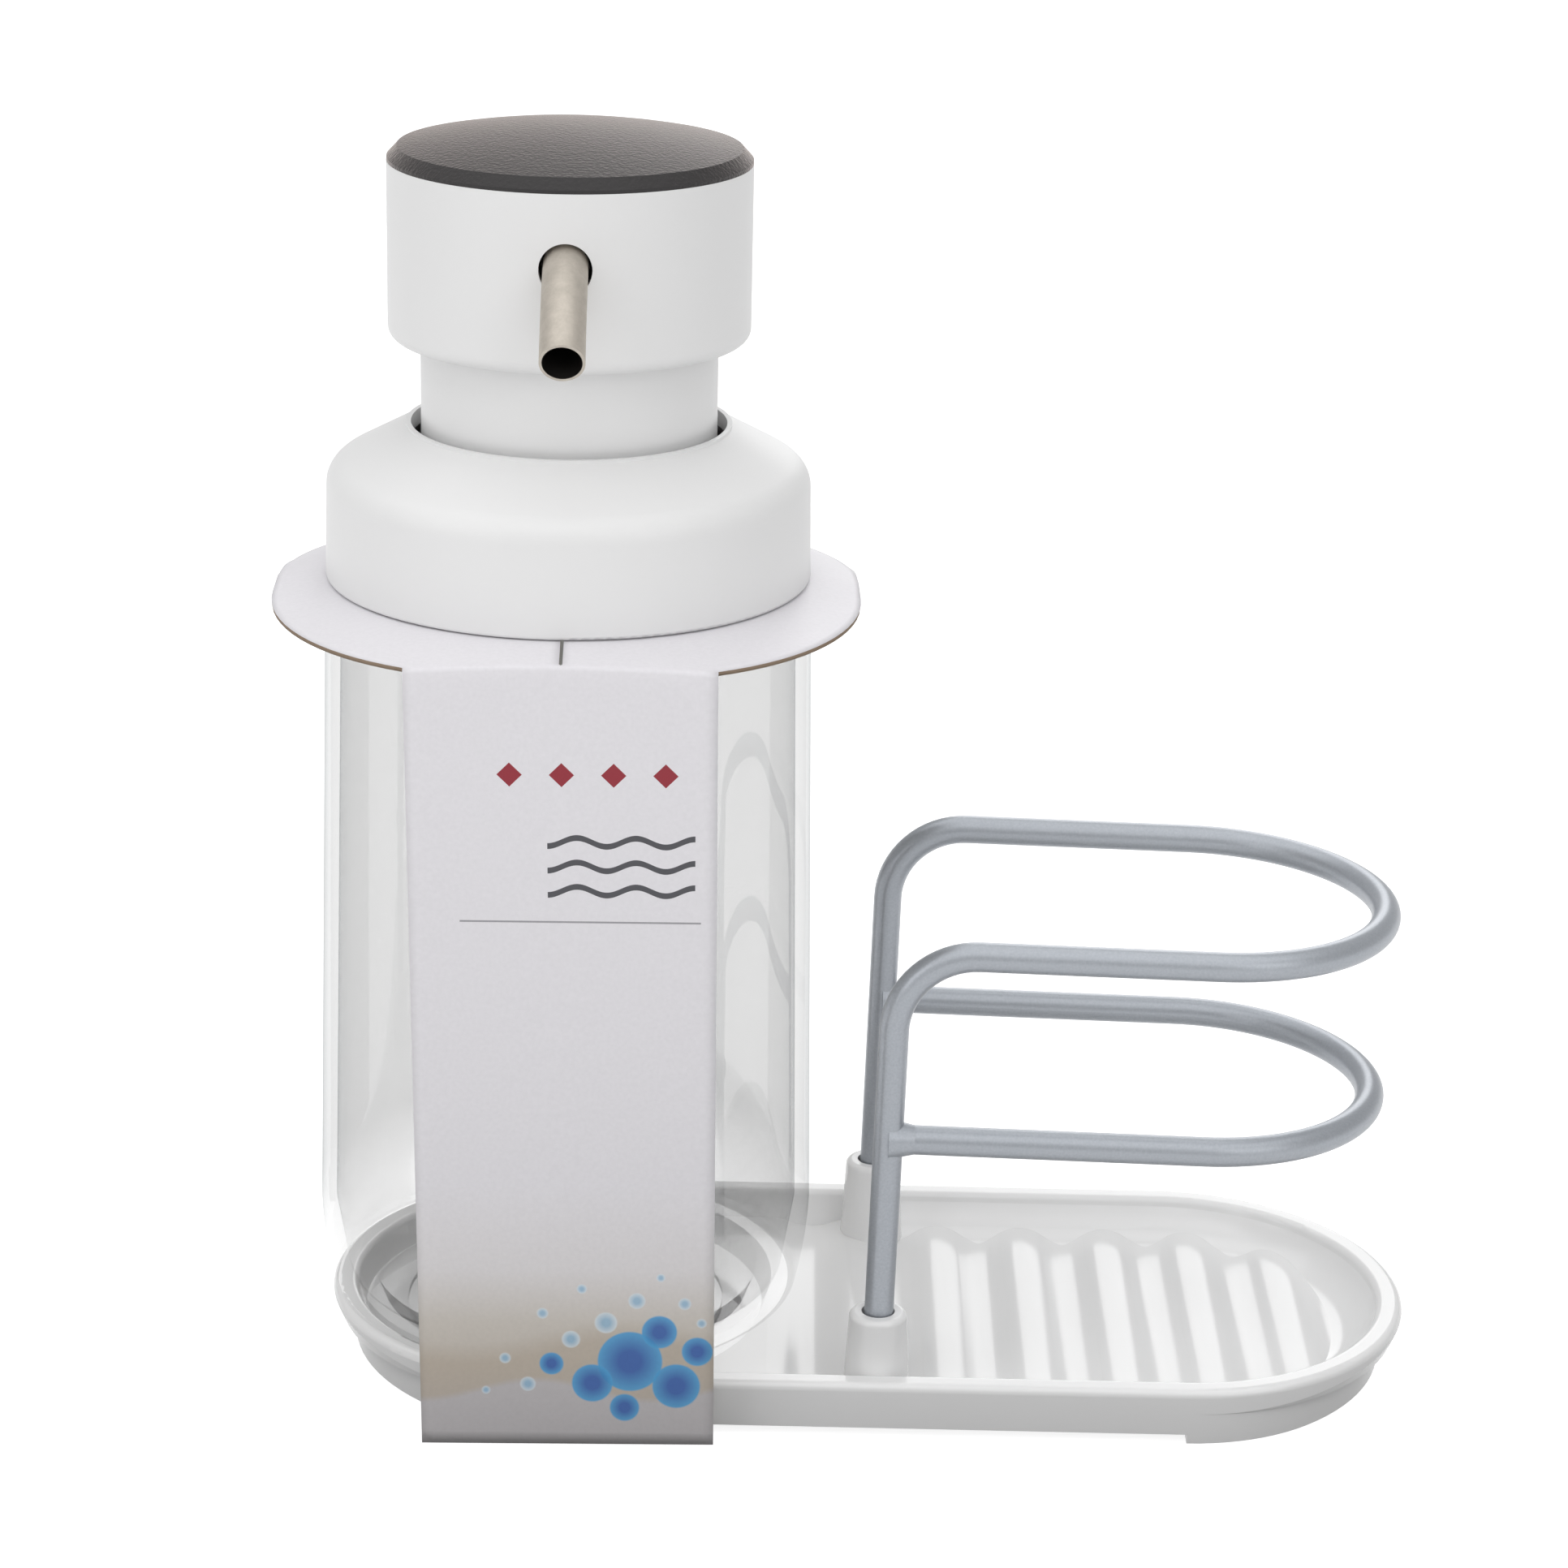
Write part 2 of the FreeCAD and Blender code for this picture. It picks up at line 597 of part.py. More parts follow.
# Rack: one wire bent into two legs and a hoop, and a second U of wire whose ends are shaped to the
# legs and welded there. It leans a little in the play of its sockets.
pivot = (dim.socket_floor + dim.boss_height) / 2
leg_low = (dim.socket_floor + dim.leg_gap - pivot).number
far = dim.hoop_reach.number
width = leg_y.number
bend = dim.hoop_bend.number
corner = bend * (1 - math.sqrt(0.5))


def hoop_end(level, start):
    """The two runs and the round end of a hoop, from the front leg's side to the back one's."""
    near = far - width
    return [Part.makeLine(Vector(start, -width, level), Vector(near, -width, level)),
            three_arc(Vector(near, -width, level), Vector(far, 0, level), Vector(near, width, level)),
            Part.makeLine(Vector(near, width, level), Vector(start, width, level))]


def leg(side, level):
    """A leg and its bend, from the socket up."""
    return [Part.makeLine(Vector(0, side, leg_low), Vector(0, side, level - bend)),
            three_arc(Vector(0, side, level - bend), Vector(corner, side, level - corner),
                      Vector(bend, side, level))]


def down(edges):
    """The same edges run through the other way."""
    back = []
    for edge in reversed(edges):
        points = [edge.valueAt(part) for part in (edge.LastParameter,
                  (edge.FirstParameter + edge.LastParameter) / 2, edge.FirstParameter)]
        straight = edge.Curve.TypeId == "Part::GeomLine"
        back.append(Part.makeLine(points[0], points[2]) if straight else three_arc(*points))
    return back


upper = (dim.upper_height - pivot).number
lower = (dim.lower_height - pivot).number
upper_wire = swept(leg(-width, upper) + hoop_end(upper, bend) + down(leg(width, upper)), WIRE.number)
lower_wire = swept(hoop_end(lower, 0), WIRE.number)
weld_wide = (WIRE + dim.weld_flare).number
weld_length = (WIRE + dim.weld_reach).number
welds = [Part.makeCone(weld_wide, WIRE.number, weld_length, Vector(0, side, lower), Vector(1, 0, 0))
         for side in (-width, width)]
lower_wire = lower_wire.fuse(welds).cut(upper_wire)
lower_wire = max(lower_wire.Solids, key=lambda solid: solid.Volume)
for label, shape in (("upper_hoop", upper_wire), ("lower_hoop", lower_wire)):
    hoop = shaped(label, shape)
    hoop.Placement = Placement(Vector(0, 0, 0), Rotation(Vector(0, 1, 0), dim.rack_lean.number))
    drive(hoop, "Placement.Base.x", boss_x)
    drive(hoop, "Placement.Base.z", pivot)

# Bottle: a clear wall on a plug that fits the tray's round end, with a hollow underneath, a small
# shoulder and a wide neck.
plug_top = well_top - dim.plug_clearance
plug_low = well_low - dim.plug_clearance
inner_foot = dim.bottle_foot_radius - dim.bottle_wall
floor_top = BASE + dim.recess_depth + dim.base_wall
ledge = BODY_FOOT + dim.base_wall
mouth = dim.neck_radius - dim.neck_wall
turned("bottle", [
    (0, BASE + dim.recess_depth),
    (dim.recess_radius, BASE + dim.recess_depth),
    (dim.recess_radius, BASE),
    (plug_low, BASE),
    (plug_top, BODY_FOOT),
    (dim.bottle_foot_radius - dim.foot_round, BODY_FOOT),
    (dim.bottle_foot_radius, BODY_FOOT + dim.foot_round),
    (dim.bottle_radius, BODY_FOOT + dim.flare_height),
    (dim.bottle_top_radius, SHOULDER - dim.shoulder_round),
    (dim.bottle_top_radius - dim.shoulder_round, SHOULDER),
    (dim.neck_radius, SHOULDER),
    (dim.neck_radius, NECK_TOP),
    (mouth, NECK_TOP),
    (mouth, SHOULDER - dim.bottle_wall),
    (dim.bottle_top_radius - dim.bottle_wall, SHOULDER - dim.bottle_wall),
    (dim.bottle_radius - dim.bottle_wall, BODY_FOOT + dim.flare_height),
    (inner_foot, ledge + dim.base_round),
    (inner_foot - dim.base_round, ledge),
    (plug_top - dim.bottle_wall, ledge),
    (plug_low - dim.bottle_wall, floor_top),
    (0, floor_top),
], {5: (1, dim.foot_round), 6: (1, dim.flare_radius), 8: (1, dim.shoulder_round), 16: (-1, dim.base_round)})

# Card: a ring under the collar that droops beyond it, with rounded sides, a front and a back panel
# folded down from it, and a slit from the ring's hole to the front fold.
card = new_body("display_card")
half_panel = dim.panel_width / 2
half_card = dim.card_width / 2
half_side = dim.card_side / 2
fold = dim.bottle_radius + dim.panel_gap + dim.card_thickness
corner_x = half_card - half_panel
corner_y = fold - half_side
card_corner = (corner_x * corner_x + corner_y * corner_y) / (corner_x * 2)
card_reach = half_card + dim.overrun * 2
card_fall = (card_reach - dim.collar_radius) * tangent(dim.card_droop)
card_hole = dim.neck_radius + dim.card_hole_gap
sketch = new_sketch(card, "card_ring", "XZ_Plane")
trace(sketch, [(card_hole, CARD_LOW), (dim.collar_radius, CARD_LOW), (card_reach, CARD_LOW - card_fall),
               (card_reach, CARD_TOP - card_fall), (dim.collar_radius, CARD_TOP), (card_hole, CARD_TOP)])
turn(card, "Revolution", sketch)
sketch = new_sketch(card, "card_outline", "XY_Plane", CARD_TOP)
trace(sketch, [(-half_panel, -fold), (half_panel, -fold), (half_card, -half_side), (half_card, half_side),
               (half_panel, fold), (-half_panel, fold), (-half_card, half_side), (-half_card, -half_side)],
      {1: (1, card_corner), 3: (1, card_corner), 5: (1, card_corner), 7: (1, card_corner)})
trace(sketch, square(card_reach + dim.overrun, card_reach + dim.overrun))
extrude(card, "Pocket", sketch, dim.overrun)
sketch = new_sketch(card, "card_panels", "YZ_Plane")
for side in (-1, 1):
    face = fold * side
    back = (fold - dim.card_thickness) * side
    trace(sketch, [(back, CARD_TOP), (face, CARD_TOP),
                   (face, dim.panel_clearance), (back, dim.panel_clearance)])
extrude(card, "Pad", sketch, dim.panel_width, side="Symmetric")
sketch = new_sketch(card, "card_above", "XZ_Plane")
trace(sketch, [(dim.collar_radius, CARD_TOP), (card_reach, CARD_TOP - card_fall),
               (card_reach, CARD_TOP + dim.overrun), (dim.collar_radius, CARD_TOP + dim.overrun)])
turn(card, "Groove", sketch)
sketch = new_sketch(card, "card_slit", "XY_Plane", CARD_TOP)
half_slit = dim.card_slit / 2
slit_end = -(fold - dim.card_thickness)
trace(sketch, [(-half_slit, slit_end), (half_slit, slit_end), (half_slit, -mouth), (-half_slit, -mouth)])
extrude(card, "Pocket", sketch, dim.overrun)
on_axis(card)

# Collar: a moulded shell with a rounded shoulder, a sloping top and a lip round its hole.
slope_top = LIP - dim.lip_rise
corner_z = COLLAR_LOW + dim.collar_corner
lip_out = dim.collar_hole + dim.collar_lip
collar, feature = turned("collar", [
    (dim.collar_radius - dim.collar_edge, COLLAR_LOW),
    (dim.collar_radius, COLLAR_LOW + dim.collar_edge),
    (dim.collar_top_radius, corner_z),
    (lip_out, slope_top),
    (lip_out, LIP),
    (dim.collar_hole, LIP),
    (dim.collar_hole, slope_top - dim.collar_wall),
    (dim.collar_top_radius - dim.collar_wall, corner_z - dim.collar_wall),
    (dim.collar_radius - dim.collar_wall, COLLAR_LOW),
], {0: (1, dim.collar_edge)})
soften(collar, feature, circle_edges(feature, dim.collar_top_radius, corner_z), dim.collar_round)

# Closure ring: pressed into the collar; its beads run on the neck and its top clamps the housing.
closure_out = dim.collar_top_radius - dim.collar_wall - dim.closure_gap
closure_in = dim.neck_radius + dim.thread_clearance
closure_low = COLLAR_LOW + dim.closure_rise
clamp = FLANGE_TOP + dim.flange_gap
bead_in = closure_in - dim.thread_rise
spots = [(closure_in, closure_low), (closure_out, closure_low), (closure_out, clamp + dim.closure_flange),
         (dim.closure_mouth, clamp + dim.closure_flange), (dim.closure_mouth, clamp), (closure_in, clamp)]
for count in range(THREAD_BEADS, 0, -1):
    bead = closure_low + dim.thread_pitch * count
    spots.append((closure_in, bead))
    spots.append((bead_in, bead - dim.thread_rise))
    spots.append((bead_in, bead - dim.thread_rise * 3))
    spots.append((closure_in, bead - dim.thread_rise * 4))
turned("closure_ring", spots)

gasket_out = dim.neck_radius - dim.gasket_inset
gasket_in = gasket_out - dim.gasket_width
turned("neck_gasket", [(gasket_in, NECK_TOP), (gasket_out, NECK_TOP), (gasket_out, FLANGE_LOW),
                       (gasket_in, FLANGE_LOW)])

# Housing: a flange on the neck, a cup for the sleeve, the cylinder, an inlet port and a tail.
cup_in = dim.sleeve_radius + dim.cup_clearance
cylinder_out = dim.cylinder_radius + dim.cylinder_wall
tail_in = dim.tube_radius + dim.tube_fit
tail_out = tail_in + dim.tail_wall
turned("pump_housing", [
    (tail_in, PORT_LOW - dim.tail_length),
    (tail_out, PORT_LOW - dim.tail_length),
    (tail_out, PORT_LOW),
    (cylinder_out, CYLINDER_LOW),
    (cylinder_out, CUP_LOW),
    (cup_in + dim.cup_wall, CUP_LOW),
    (cup_in + dim.cup_wall, FLANGE_LOW),
    (gasket_out, FLANGE_LOW),
    (gasket_out, FLANGE_TOP),
    (cup_in, FLANGE_TOP),
    (cup_in, CUP_TOP),
    (dim.cylinder_radius, CUP_TOP),
    (dim.cylinder_radius, CYLINDER_LOW),
    (dim.port_radius, CYLINDER_LOW),
    (dim.port_radius, PORT_LOW),
    (tail_in, PORT_LOW),
])

# Lock cap: sits in the top of the cylinder, guides the stem and stops the piston.
guide = dim.stem_radius + dim.stem_fit
lock_out = dim.cylinder_radius - dim.lock_fit
turned("lock_cap", [
    (guide, CUP_TOP - dim.lock_skirt),
    (lock_out, CUP_TOP - dim.lock_skirt),
    (lock_out, CUP_TOP),
    (dim.lock_radius, CUP_TOP),
    (dim.lock_radius, CUP_TOP + dim.lock_flange),
    (guide, CUP_TOP + dim.lock_flange),
])

# Dip tube: pushed into the tail, ends just above the bottle's floor.
tube_in = dim.tube_radius - dim.tube_wall
turned("dip_tube", [(tube_in, floor_top + dim.tube_gap), (dim.tube_radius, floor_top + dim.tube_gap),
                    (dim.tube_radius, PORT_LOW), (tube_in, PORT_LOW)])

# Stem: a hollow rod with a flange that pushes the piston and a wider chamber for the outlet ball.
chamber_low = STEM_TOP - dim.chamber_depth
turned("stem", [
    (dim.port_radius, STEM_LOW),
    (dim.stem_radius, STEM_LOW),
    (dim.stem_radius, PISTON_TOP),
    (dim.stem_flange_radius, PISTON_TOP),
    (dim.stem_flange_radius, PISTON_TOP + dim.stem_flange),
    (dim.stem_radius, PISTON_TOP + dim.stem_flange),
    (dim.stem_radius, STEM_TOP),
    (dim.chamber_radius, STEM_TOP),
    (dim.chamber_radius, chamber_low),
    (dim.port_radius, chamber_low),
])

# Piston with a groove, and the seal in that groove.
seal_low = PISTON_LOW + (dim.piston_length - dim.seal_height) / 2
groove = dim.piston_radius - dim.seal_groove
turned("piston", [
    (guide, PISTON_LOW),
    (dim.piston_radius, PISTON_LOW),
    (dim.piston_radius, seal_low),
    (groove, seal_low),
    (groove, seal_low + dim.seal_height),
    (dim.piston_radius, seal_low + dim.seal_height),
    (dim.piston_radius, PISTON_TOP),
    (guide, PISTON_TOP),
])
turned("piston_seal", [(groove, seal_low), (dim.cylinder_radius - dim.seal_fit, seal_low),
                       (dim.cylinder_radius - dim.seal_fit, seal_low + dim.seal_height),
                       (groove, seal_low + dim.seal_height)])


def check_ball(label, radius, seat_z):
    """A ball on the round edge of a port."""
    ball = doc.addObject("Part::Sphere", label)
    drive(ball, "Radius", radius)
    on_axis(ball)
    rise = root(radius * radius - dim.port_radius * dim.port_radius)
    drive(ball, "Placement.Base.z", seat_z + rise + dim.ball_gap)
    finished.append(ball)


check_ball("inlet_ball", dim.inlet_radius, CYLINDER_LOW)
check_ball("outlet_ball", dim.outlet_radius, chamber_low)


def biarc(start, heading, stop, arrival):
    """Two arcs that join smoothly from one point and heading to another."""
    chord = stop - start
    both = heading + arrival
    spread = 2 * (1 - heading.dot(arrival))
    reach = (math.sqrt(chord.dot(both) ** 2 + spread * chord.dot(chord)) - chord.dot(both)) / spread
    joint = (start + heading * reach + stop - arrival * reach) / 2
    edges = []
    for first, last, tangent in ((start, joint, heading), (joint, stop, (stop - arrival * reach - joint))):
        line = last - first
        along = Vector(line).normalize()
        tangent = Vector(tangent).normalize()
        lean = math.acos(max(-1, min(1, along.dot(tangent))))
        aside = (tangent - along * along.dot(tangent)).normalize()
        bulge = aside * line.Length / 2 * math.tan(lean / 2)
        edges.append(three_arc(first, (first + last) / 2 + bulge, last))
    return edges


# Spring: one wire wound in even turns between the cylinder's floor and the piston.
coil = dim.spring_radius.number
half_wire = dim.spring_wire / 2
coil_low = (CYLINDER_LOW + dim.spring_gap + half_wire).number
coil_high = (PISTON_LOW - dim.spring_gap - half_wire).number
climb = (coil_high - coil_low) / (2 * math.pi * SPRING_TURNS)
edges = []
steps = SPRING_TURNS * 4
stations = []
for step in range(steps + 1):
    angle = step * math.pi / 2
    place = Vector(coil * math.cos(angle), coil * math.sin(angle), coil_low + climb * angle)
    stations.append((place, Vector(-coil * math.sin(angle), coil * math.cos(angle), climb).normalize()))
for before, after in zip(stations, stations[1:]):
    edges += biarc(*before, *after)
spring = shaped("return_spring", swept(edges, half_wire.number))
on_axis(spring)
print("spring gap", round(climb * 2 * math.pi - dim.spring_wire.number, 3))

# Sleeve: slides in the collar's hole; its flange lies on the head's floor ring.
sleeve_in = dim.sleeve_radius - dim.sleeve_wall
turned("plunger_sleeve", [
    (sleeve_in, SLEEVE_LOW),
    (dim.sleeve_radius, SLEEVE_LOW),
    (dim.sleeve_radius, HEAD_LOW + dim.head_floor),
    (HEAD_BORE - dim.sleeve_fit, HEAD_LOW + dim.head_floor),
    (HEAD_BORE - dim.sleeve_fit, SLEEVE_TOP),
    (sleeve_in, SLEEVE_TOP),
])

# Head: a shell with a floor ring round the sleeve, a plate under the pad and a hole for the spout.
head, feature = turned("head_shell", [
    (dim.sleeve_radius + dim.sleeve_fit, HEAD_LOW),
    (dim.head_radius - dim.head_round, HEAD_LOW),
    (dim.head_radius, HEAD_LOW + dim.head_round),
    (dim.head_radius, HEAD_TOP),
    (HEAD_BORE, HEAD_TOP),
    (HEAD_BORE, HEAD_TOP - dim.pad_recess),
    (0, HEAD_TOP - dim.pad_recess),
    (0, PLATE_LOW),
    (HEAD_BORE, PLATE_LOW),
    (HEAD_BORE, HEAD_LOW + dim.head_floor),
    (dim.sleeve_radius + dim.sleeve_fit, HEAD_LOW + dim.head_floor),
], {1: (1, dim.head_round)})
exit_sink = dim.head_radius - dim.head_wall / 2 - dim.elbow_reach
exit_z = SPOUT_Z - dim.spout_bend + root(dim.spout_bend * dim.spout_bend - exit_sink * exit_sink)
sketch = new_sketch(head, "head_hole", "XZ_Plane")
ring(sketch, (0, exit_z), dim.spout_radius + dim.spout_play)
extrude(head, "Pocket", sketch, dim.head_radius + dim.overrun, back=True)

# Pad: a rubber disc with a spigot, an upright edge, a bevel and a low dome.
pad_radius = dim.head_radius - dim.pad_inset
spigot = HEAD_BORE - dim.pad_fit
dome_edge = HEAD_TOP + dim.ridge_height
turned("press_pad", [
    (0, HEAD_TOP - dim.pad_recess),
    (spigot, HEAD_TOP - dim.pad_recess),
    (spigot, HEAD_TOP),
    (pad_radius, HEAD_TOP),
    (pad_radius, HEAD_TOP + dim.pad_edge),
    (dim.ridge_radius, dome_edge),
    (0, dome_edge + dim.dome_rise),
], {5: (1, cap_radius(dim.ridge_radius * 2, dim.dome_rise))})

# Actuator: a post on the stem, a disc under the head's plate and a boss that holds the spout.
actuator, feature = turned("actuator", [
    (dim.stem_radius, STEM_TOP - dim.stem_socket),
    (dim.post_radius, STEM_TOP - dim.stem_socket),
    (dim.post_radius, PLATE_LOW - dim.disc_thickness),
    (dim.disc_radius, PLATE_LOW - dim.disc_thickness),
    (dim.disc_radius, PLATE_LOW),
    (0, PLATE_LOW),
    (0, SPOUT_Z),
    (dim.chamber_radius, SPOUT_Z),
    (dim.chamber_radius, STEM_TOP),
    (dim.stem_radius, STEM_TOP),
])
sketch = new_sketch(actuator, "actuator_elbow", "XZ_Plane")
ring(sketch, (0, SPOUT_Z), dim.elbow_radius)
extrude(actuator, "Pad", sketch, dim.elbow_reach)
sketch = new_sketch(actuator, "actuator_passage", "XZ_Plane")
ring(sketch, (0, SPOUT_Z), dim.port_radius)
extrude(actuator, "Pocket", sketch, dim.elbow_reach, back=True)
sketch = new_sketch(actuator, "actuator_grip", "XZ_Plane", dim.elbow_reach)
ring(sketch, (0, SPOUT_Z), dim.spout_radius + dim.spout_fit)
extrude(actuator, "Pocket", sketch, dim.spout_grip)

# Spout: a tube with a straight end in the boss, one long bend and a slanted mouth.
spout = new_body("spout")
path = new_sketch(spout, "spout_path", "YZ_Plane")
bend_end = dim.elbow_reach + dim.spout_bend * sine(dim.spout_turn)
end_z = SPOUT_Z - dim.spout_bend + dim.spout_bend * cosine(dim.spout_turn)
spare_y = -(bend_end + dim.spout_spare * cosine(dim.spout_turn))
spare_z = end_z - dim.spout_spare * sine(dim.spout_turn)
stops = [(-(dim.elbow_reach - dim.spout_grip), SPOUT_Z), (-dim.elbow_reach, SPOUT_Z), (-bend_end, end_z),
         (spare_y, spare_z)]
path.addGeometry(Part.LineSegment(flat(stops[0]), flat(stops[1])))
path.addGeometry(arc_between(flat(stops[1]), flat(stops[2]), dim.spout_bend.number, 1))
path.addGeometry(Part.LineSegment(flat(stops[2]), flat(stops[3])))
limit(path, "Radius", (1,), dim.spout_bend)
path.addConstraint(Sketcher.Constraint("Coincident", 0, 2, 1, 1))
path.addConstraint(Sketcher.Constraint("Coincident", 1, 2, 2, 1))
pin(path, 0, 1, stops[0])
pin(path, 1, 1, stops[1])
pin(path, 2, 1, stops[2])
pin(path, 2, 2, stops[3])
sketch = new_sketch(spout, "spout_section", "XZ_Plane", dim.elbow_reach - dim.spout_grip)
ring(sketch, (0, SPOUT_Z), dim.spout_radius)
ring(sketch, (0, SPOUT_Z), dim.spout_radius - dim.spout_wall)
pipe = spout.newObject("PartDesign::AdditivePipe", "spout_pipe")
pipe.Profile = sketch
pipe.Spine = (path, ["Edge1", "Edge2", "Edge3"])
doc.recompute()
sketch = new_sketch(spout, "spout_mouth", "YZ_Plane")
reach_y = dim.overrun * sine(dim.spout_trim)
reach_z = dim.overrun * cosine(dim.spout_trim)
out_y = dim.overrun * cosine(dim.spout_trim)
out_z = dim.overrun * sine(dim.spout_trim)
top_y = -bend_end - reach_y
low_y = -bend_end + reach_y
trace(sketch, [(low_y, end_z - reach_z), (top_y, end_z + reach_z), (top_y - out_y, end_z + reach_z - out_z),
               (low_y - out_y, end_z - reach_z - out_z)])
extrude(spout, "Pocket", sketch, dim.overrun * 2, side="Symmetric")
on_axis(spout)

doc.recompute()
for item in doc.Objects:
    if "Invalid" in item.State or "Error" in item.State:
        raise RuntimeError(f"{item.Name} did not build")
os.makedirs("parts", exist_ok=True)
for item in finished:
    shape = item.Shape
    if shape.isNull() or not shape.isValid() or len(shape.Solids) != 1:
        raise RuntimeError(f"{item.Label} is not one sound solid")
    shape.exportStep(f"parts/{item.Label}.step")
    print(item.Label, round(shape.Volume, 1))
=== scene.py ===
# Soap pump caddy: its looks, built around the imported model. Metres, +X along the tray, +Z up.
import math

import bmesh
import bpy
from mathutils import Matrix, Vector


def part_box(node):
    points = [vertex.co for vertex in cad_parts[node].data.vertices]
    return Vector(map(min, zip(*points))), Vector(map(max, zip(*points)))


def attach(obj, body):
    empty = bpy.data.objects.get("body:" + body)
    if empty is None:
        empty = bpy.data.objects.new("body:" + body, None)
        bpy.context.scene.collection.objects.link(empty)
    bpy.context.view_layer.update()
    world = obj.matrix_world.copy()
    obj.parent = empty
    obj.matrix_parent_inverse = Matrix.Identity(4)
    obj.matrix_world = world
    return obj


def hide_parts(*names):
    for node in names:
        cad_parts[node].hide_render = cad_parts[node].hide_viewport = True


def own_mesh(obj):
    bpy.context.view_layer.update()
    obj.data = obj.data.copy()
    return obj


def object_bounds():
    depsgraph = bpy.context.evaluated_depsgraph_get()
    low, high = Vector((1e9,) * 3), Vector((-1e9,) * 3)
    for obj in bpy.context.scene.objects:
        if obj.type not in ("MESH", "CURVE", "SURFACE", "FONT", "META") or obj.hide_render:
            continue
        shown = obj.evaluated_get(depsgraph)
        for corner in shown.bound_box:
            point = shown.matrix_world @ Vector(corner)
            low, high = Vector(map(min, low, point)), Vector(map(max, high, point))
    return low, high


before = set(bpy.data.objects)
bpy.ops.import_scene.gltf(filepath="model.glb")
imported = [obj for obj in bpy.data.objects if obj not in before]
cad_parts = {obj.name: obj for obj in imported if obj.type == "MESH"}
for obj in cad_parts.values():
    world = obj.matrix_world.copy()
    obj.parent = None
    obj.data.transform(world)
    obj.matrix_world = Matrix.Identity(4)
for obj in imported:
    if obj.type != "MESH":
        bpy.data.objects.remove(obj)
cad_low, cad_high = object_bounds()
scene = bpy.context.scene
scene.view_settings.view_transform = "Standard"

# Camera: a long lens in front of the bottle and a little above it, tilted a touch to one side.
# Its place, turns and focal length are fitted to the picture's own edges.
MM = 0.001
EYE = Vector((-14.50, -560.27, 279.21)) * MM
YAW = math.radians(0.025)
PITCH = math.radians(-18.970)
ROLL = math.radians(1.272)
PICTURE_PIXELS = 1932
FOCAL_PIXELS = 5054.7
SENSOR = 36.0
forward = Vector((math.sin(YAW) * math.cos(PITCH), math.cos(YAW) * math.cos(PITCH), math.sin(PITCH)))
level = Vector((math.cos(YAW), -math.sin(YAW), 0))
upright = level.cross(forward)
right = level * math.cos(ROLL) + upright * math.sin(ROLL)
up = upright * math.cos(ROLL) - level * math.sin(ROLL)
camera = bpy.data.objects.new("camera", bpy.data.cameras.new("camera"))
camera.data.sensor_width = SENSOR
camera.data.lens = FOCAL_PIXELS / PICTURE_PIXELS * SENSOR
camera.matrix_world = Matrix.Translation(EYE) @ Matrix((right, up, -forward)).transposed().to_4x4()
scene.collection.objects.link(camera)
scene.camera = camera

# Stage: a white paper table in a white room, lit by five softboxes. The camera, gloss and clear plastic see
# both as white, while the table still takes a soft shadow and the room lights the object plainly.
# The paper is painted dark under the tray, a painted shadow seen only by bounced light; the tray's outer
# wall stays grey.
PAPER_SIDE = 8.0
PAPER_PAINTED_SHADOW = "#242424"
PAPER_FAR = "#f0f0f0"
PAPER_SQUEEZE = (0.5, 1, 0)
NEAR_REACH = 50.0 * MM
FAR_REACH = 150.0 * MM
PAPER_GLOW = 0.85
PAPER_SHADE = (0.45, 0.45, 0.45, 1)
ROOM_LIGHT = 0.43
BACKDROP = 1.0
HORIZON_GLOSS = 0.9
CEILING_GLOSS = 0.6
HORIZON_TOP = 0.08
CEILING_START = 0.30
SOFTBOXES = (  # name, place, width, height, watts
    ("overhead_softbox", (-0.12, -0.10, 1.40), 2.4, 2.0, 17.0),
    ("left_softbox", (-0.95, -0.75, 0.60), 0.8, 0.8, 3.2),
    ("right_softbox", (0.75, -0.95, 0.65), 0.8, 0.8, 2.9),
    ("front_softbox", (-0.05, -1.30, 0.95), 1.2, 0.6, 1.2),
    ("back_softbox", (0.15, 1.15, 0.57), 0.42, 0.9, 2.3),
)


def linear(code):
    """An sRGB hex colour as linear RGBA."""
    parts = [int(code[place:place + 2], 16) / 255 for place in (1, 3, 5)]
    return [part / 12.92 if part <= 0.04045 else ((part + 0.055) / 1.055) ** 2.4 for part in parts] + [1]


def add(tree, kind, inputs=None, **settings):
    """Adds a node, sets its properties, and gives its inputs values, sockets or a node's first output."""
    made = tree.nodes.new(kind)
    for name, value in settings.items():
        setattr(made, name, value)
    for name, value in (inputs or {}).items():
        if isinstance(value, bpy.types.Node):
            value = value.outputs[0]
        if isinstance(value, bpy.types.NodeSocket):
            tree.links.new(value, made.inputs[name])
        else:
            made.inputs[name].default_value = value
    return made


def fresh(name):
    """A new material with an empty tree."""
    material = bpy.data.materials.new(name)
    material.use_nodes = True
    material.node_tree.nodes.clear()
    return material, material.node_tree


def seen_directly(tree):
    """1 for what the camera, a gloss or a clear wall sees, 0 for plain light."""
    path = add(tree, "ShaderNodeLightPath").outputs
    either = add(tree, "ShaderNodeMath", {0: path["Is Camera Ray"], 1: path["Is Glossy Ray"]},
                 operation="MAXIMUM")
    return add(tree, "ShaderNodeMath", {0: either, 1: path["Is Transmission Ray"]}, operation="MAXIMUM")


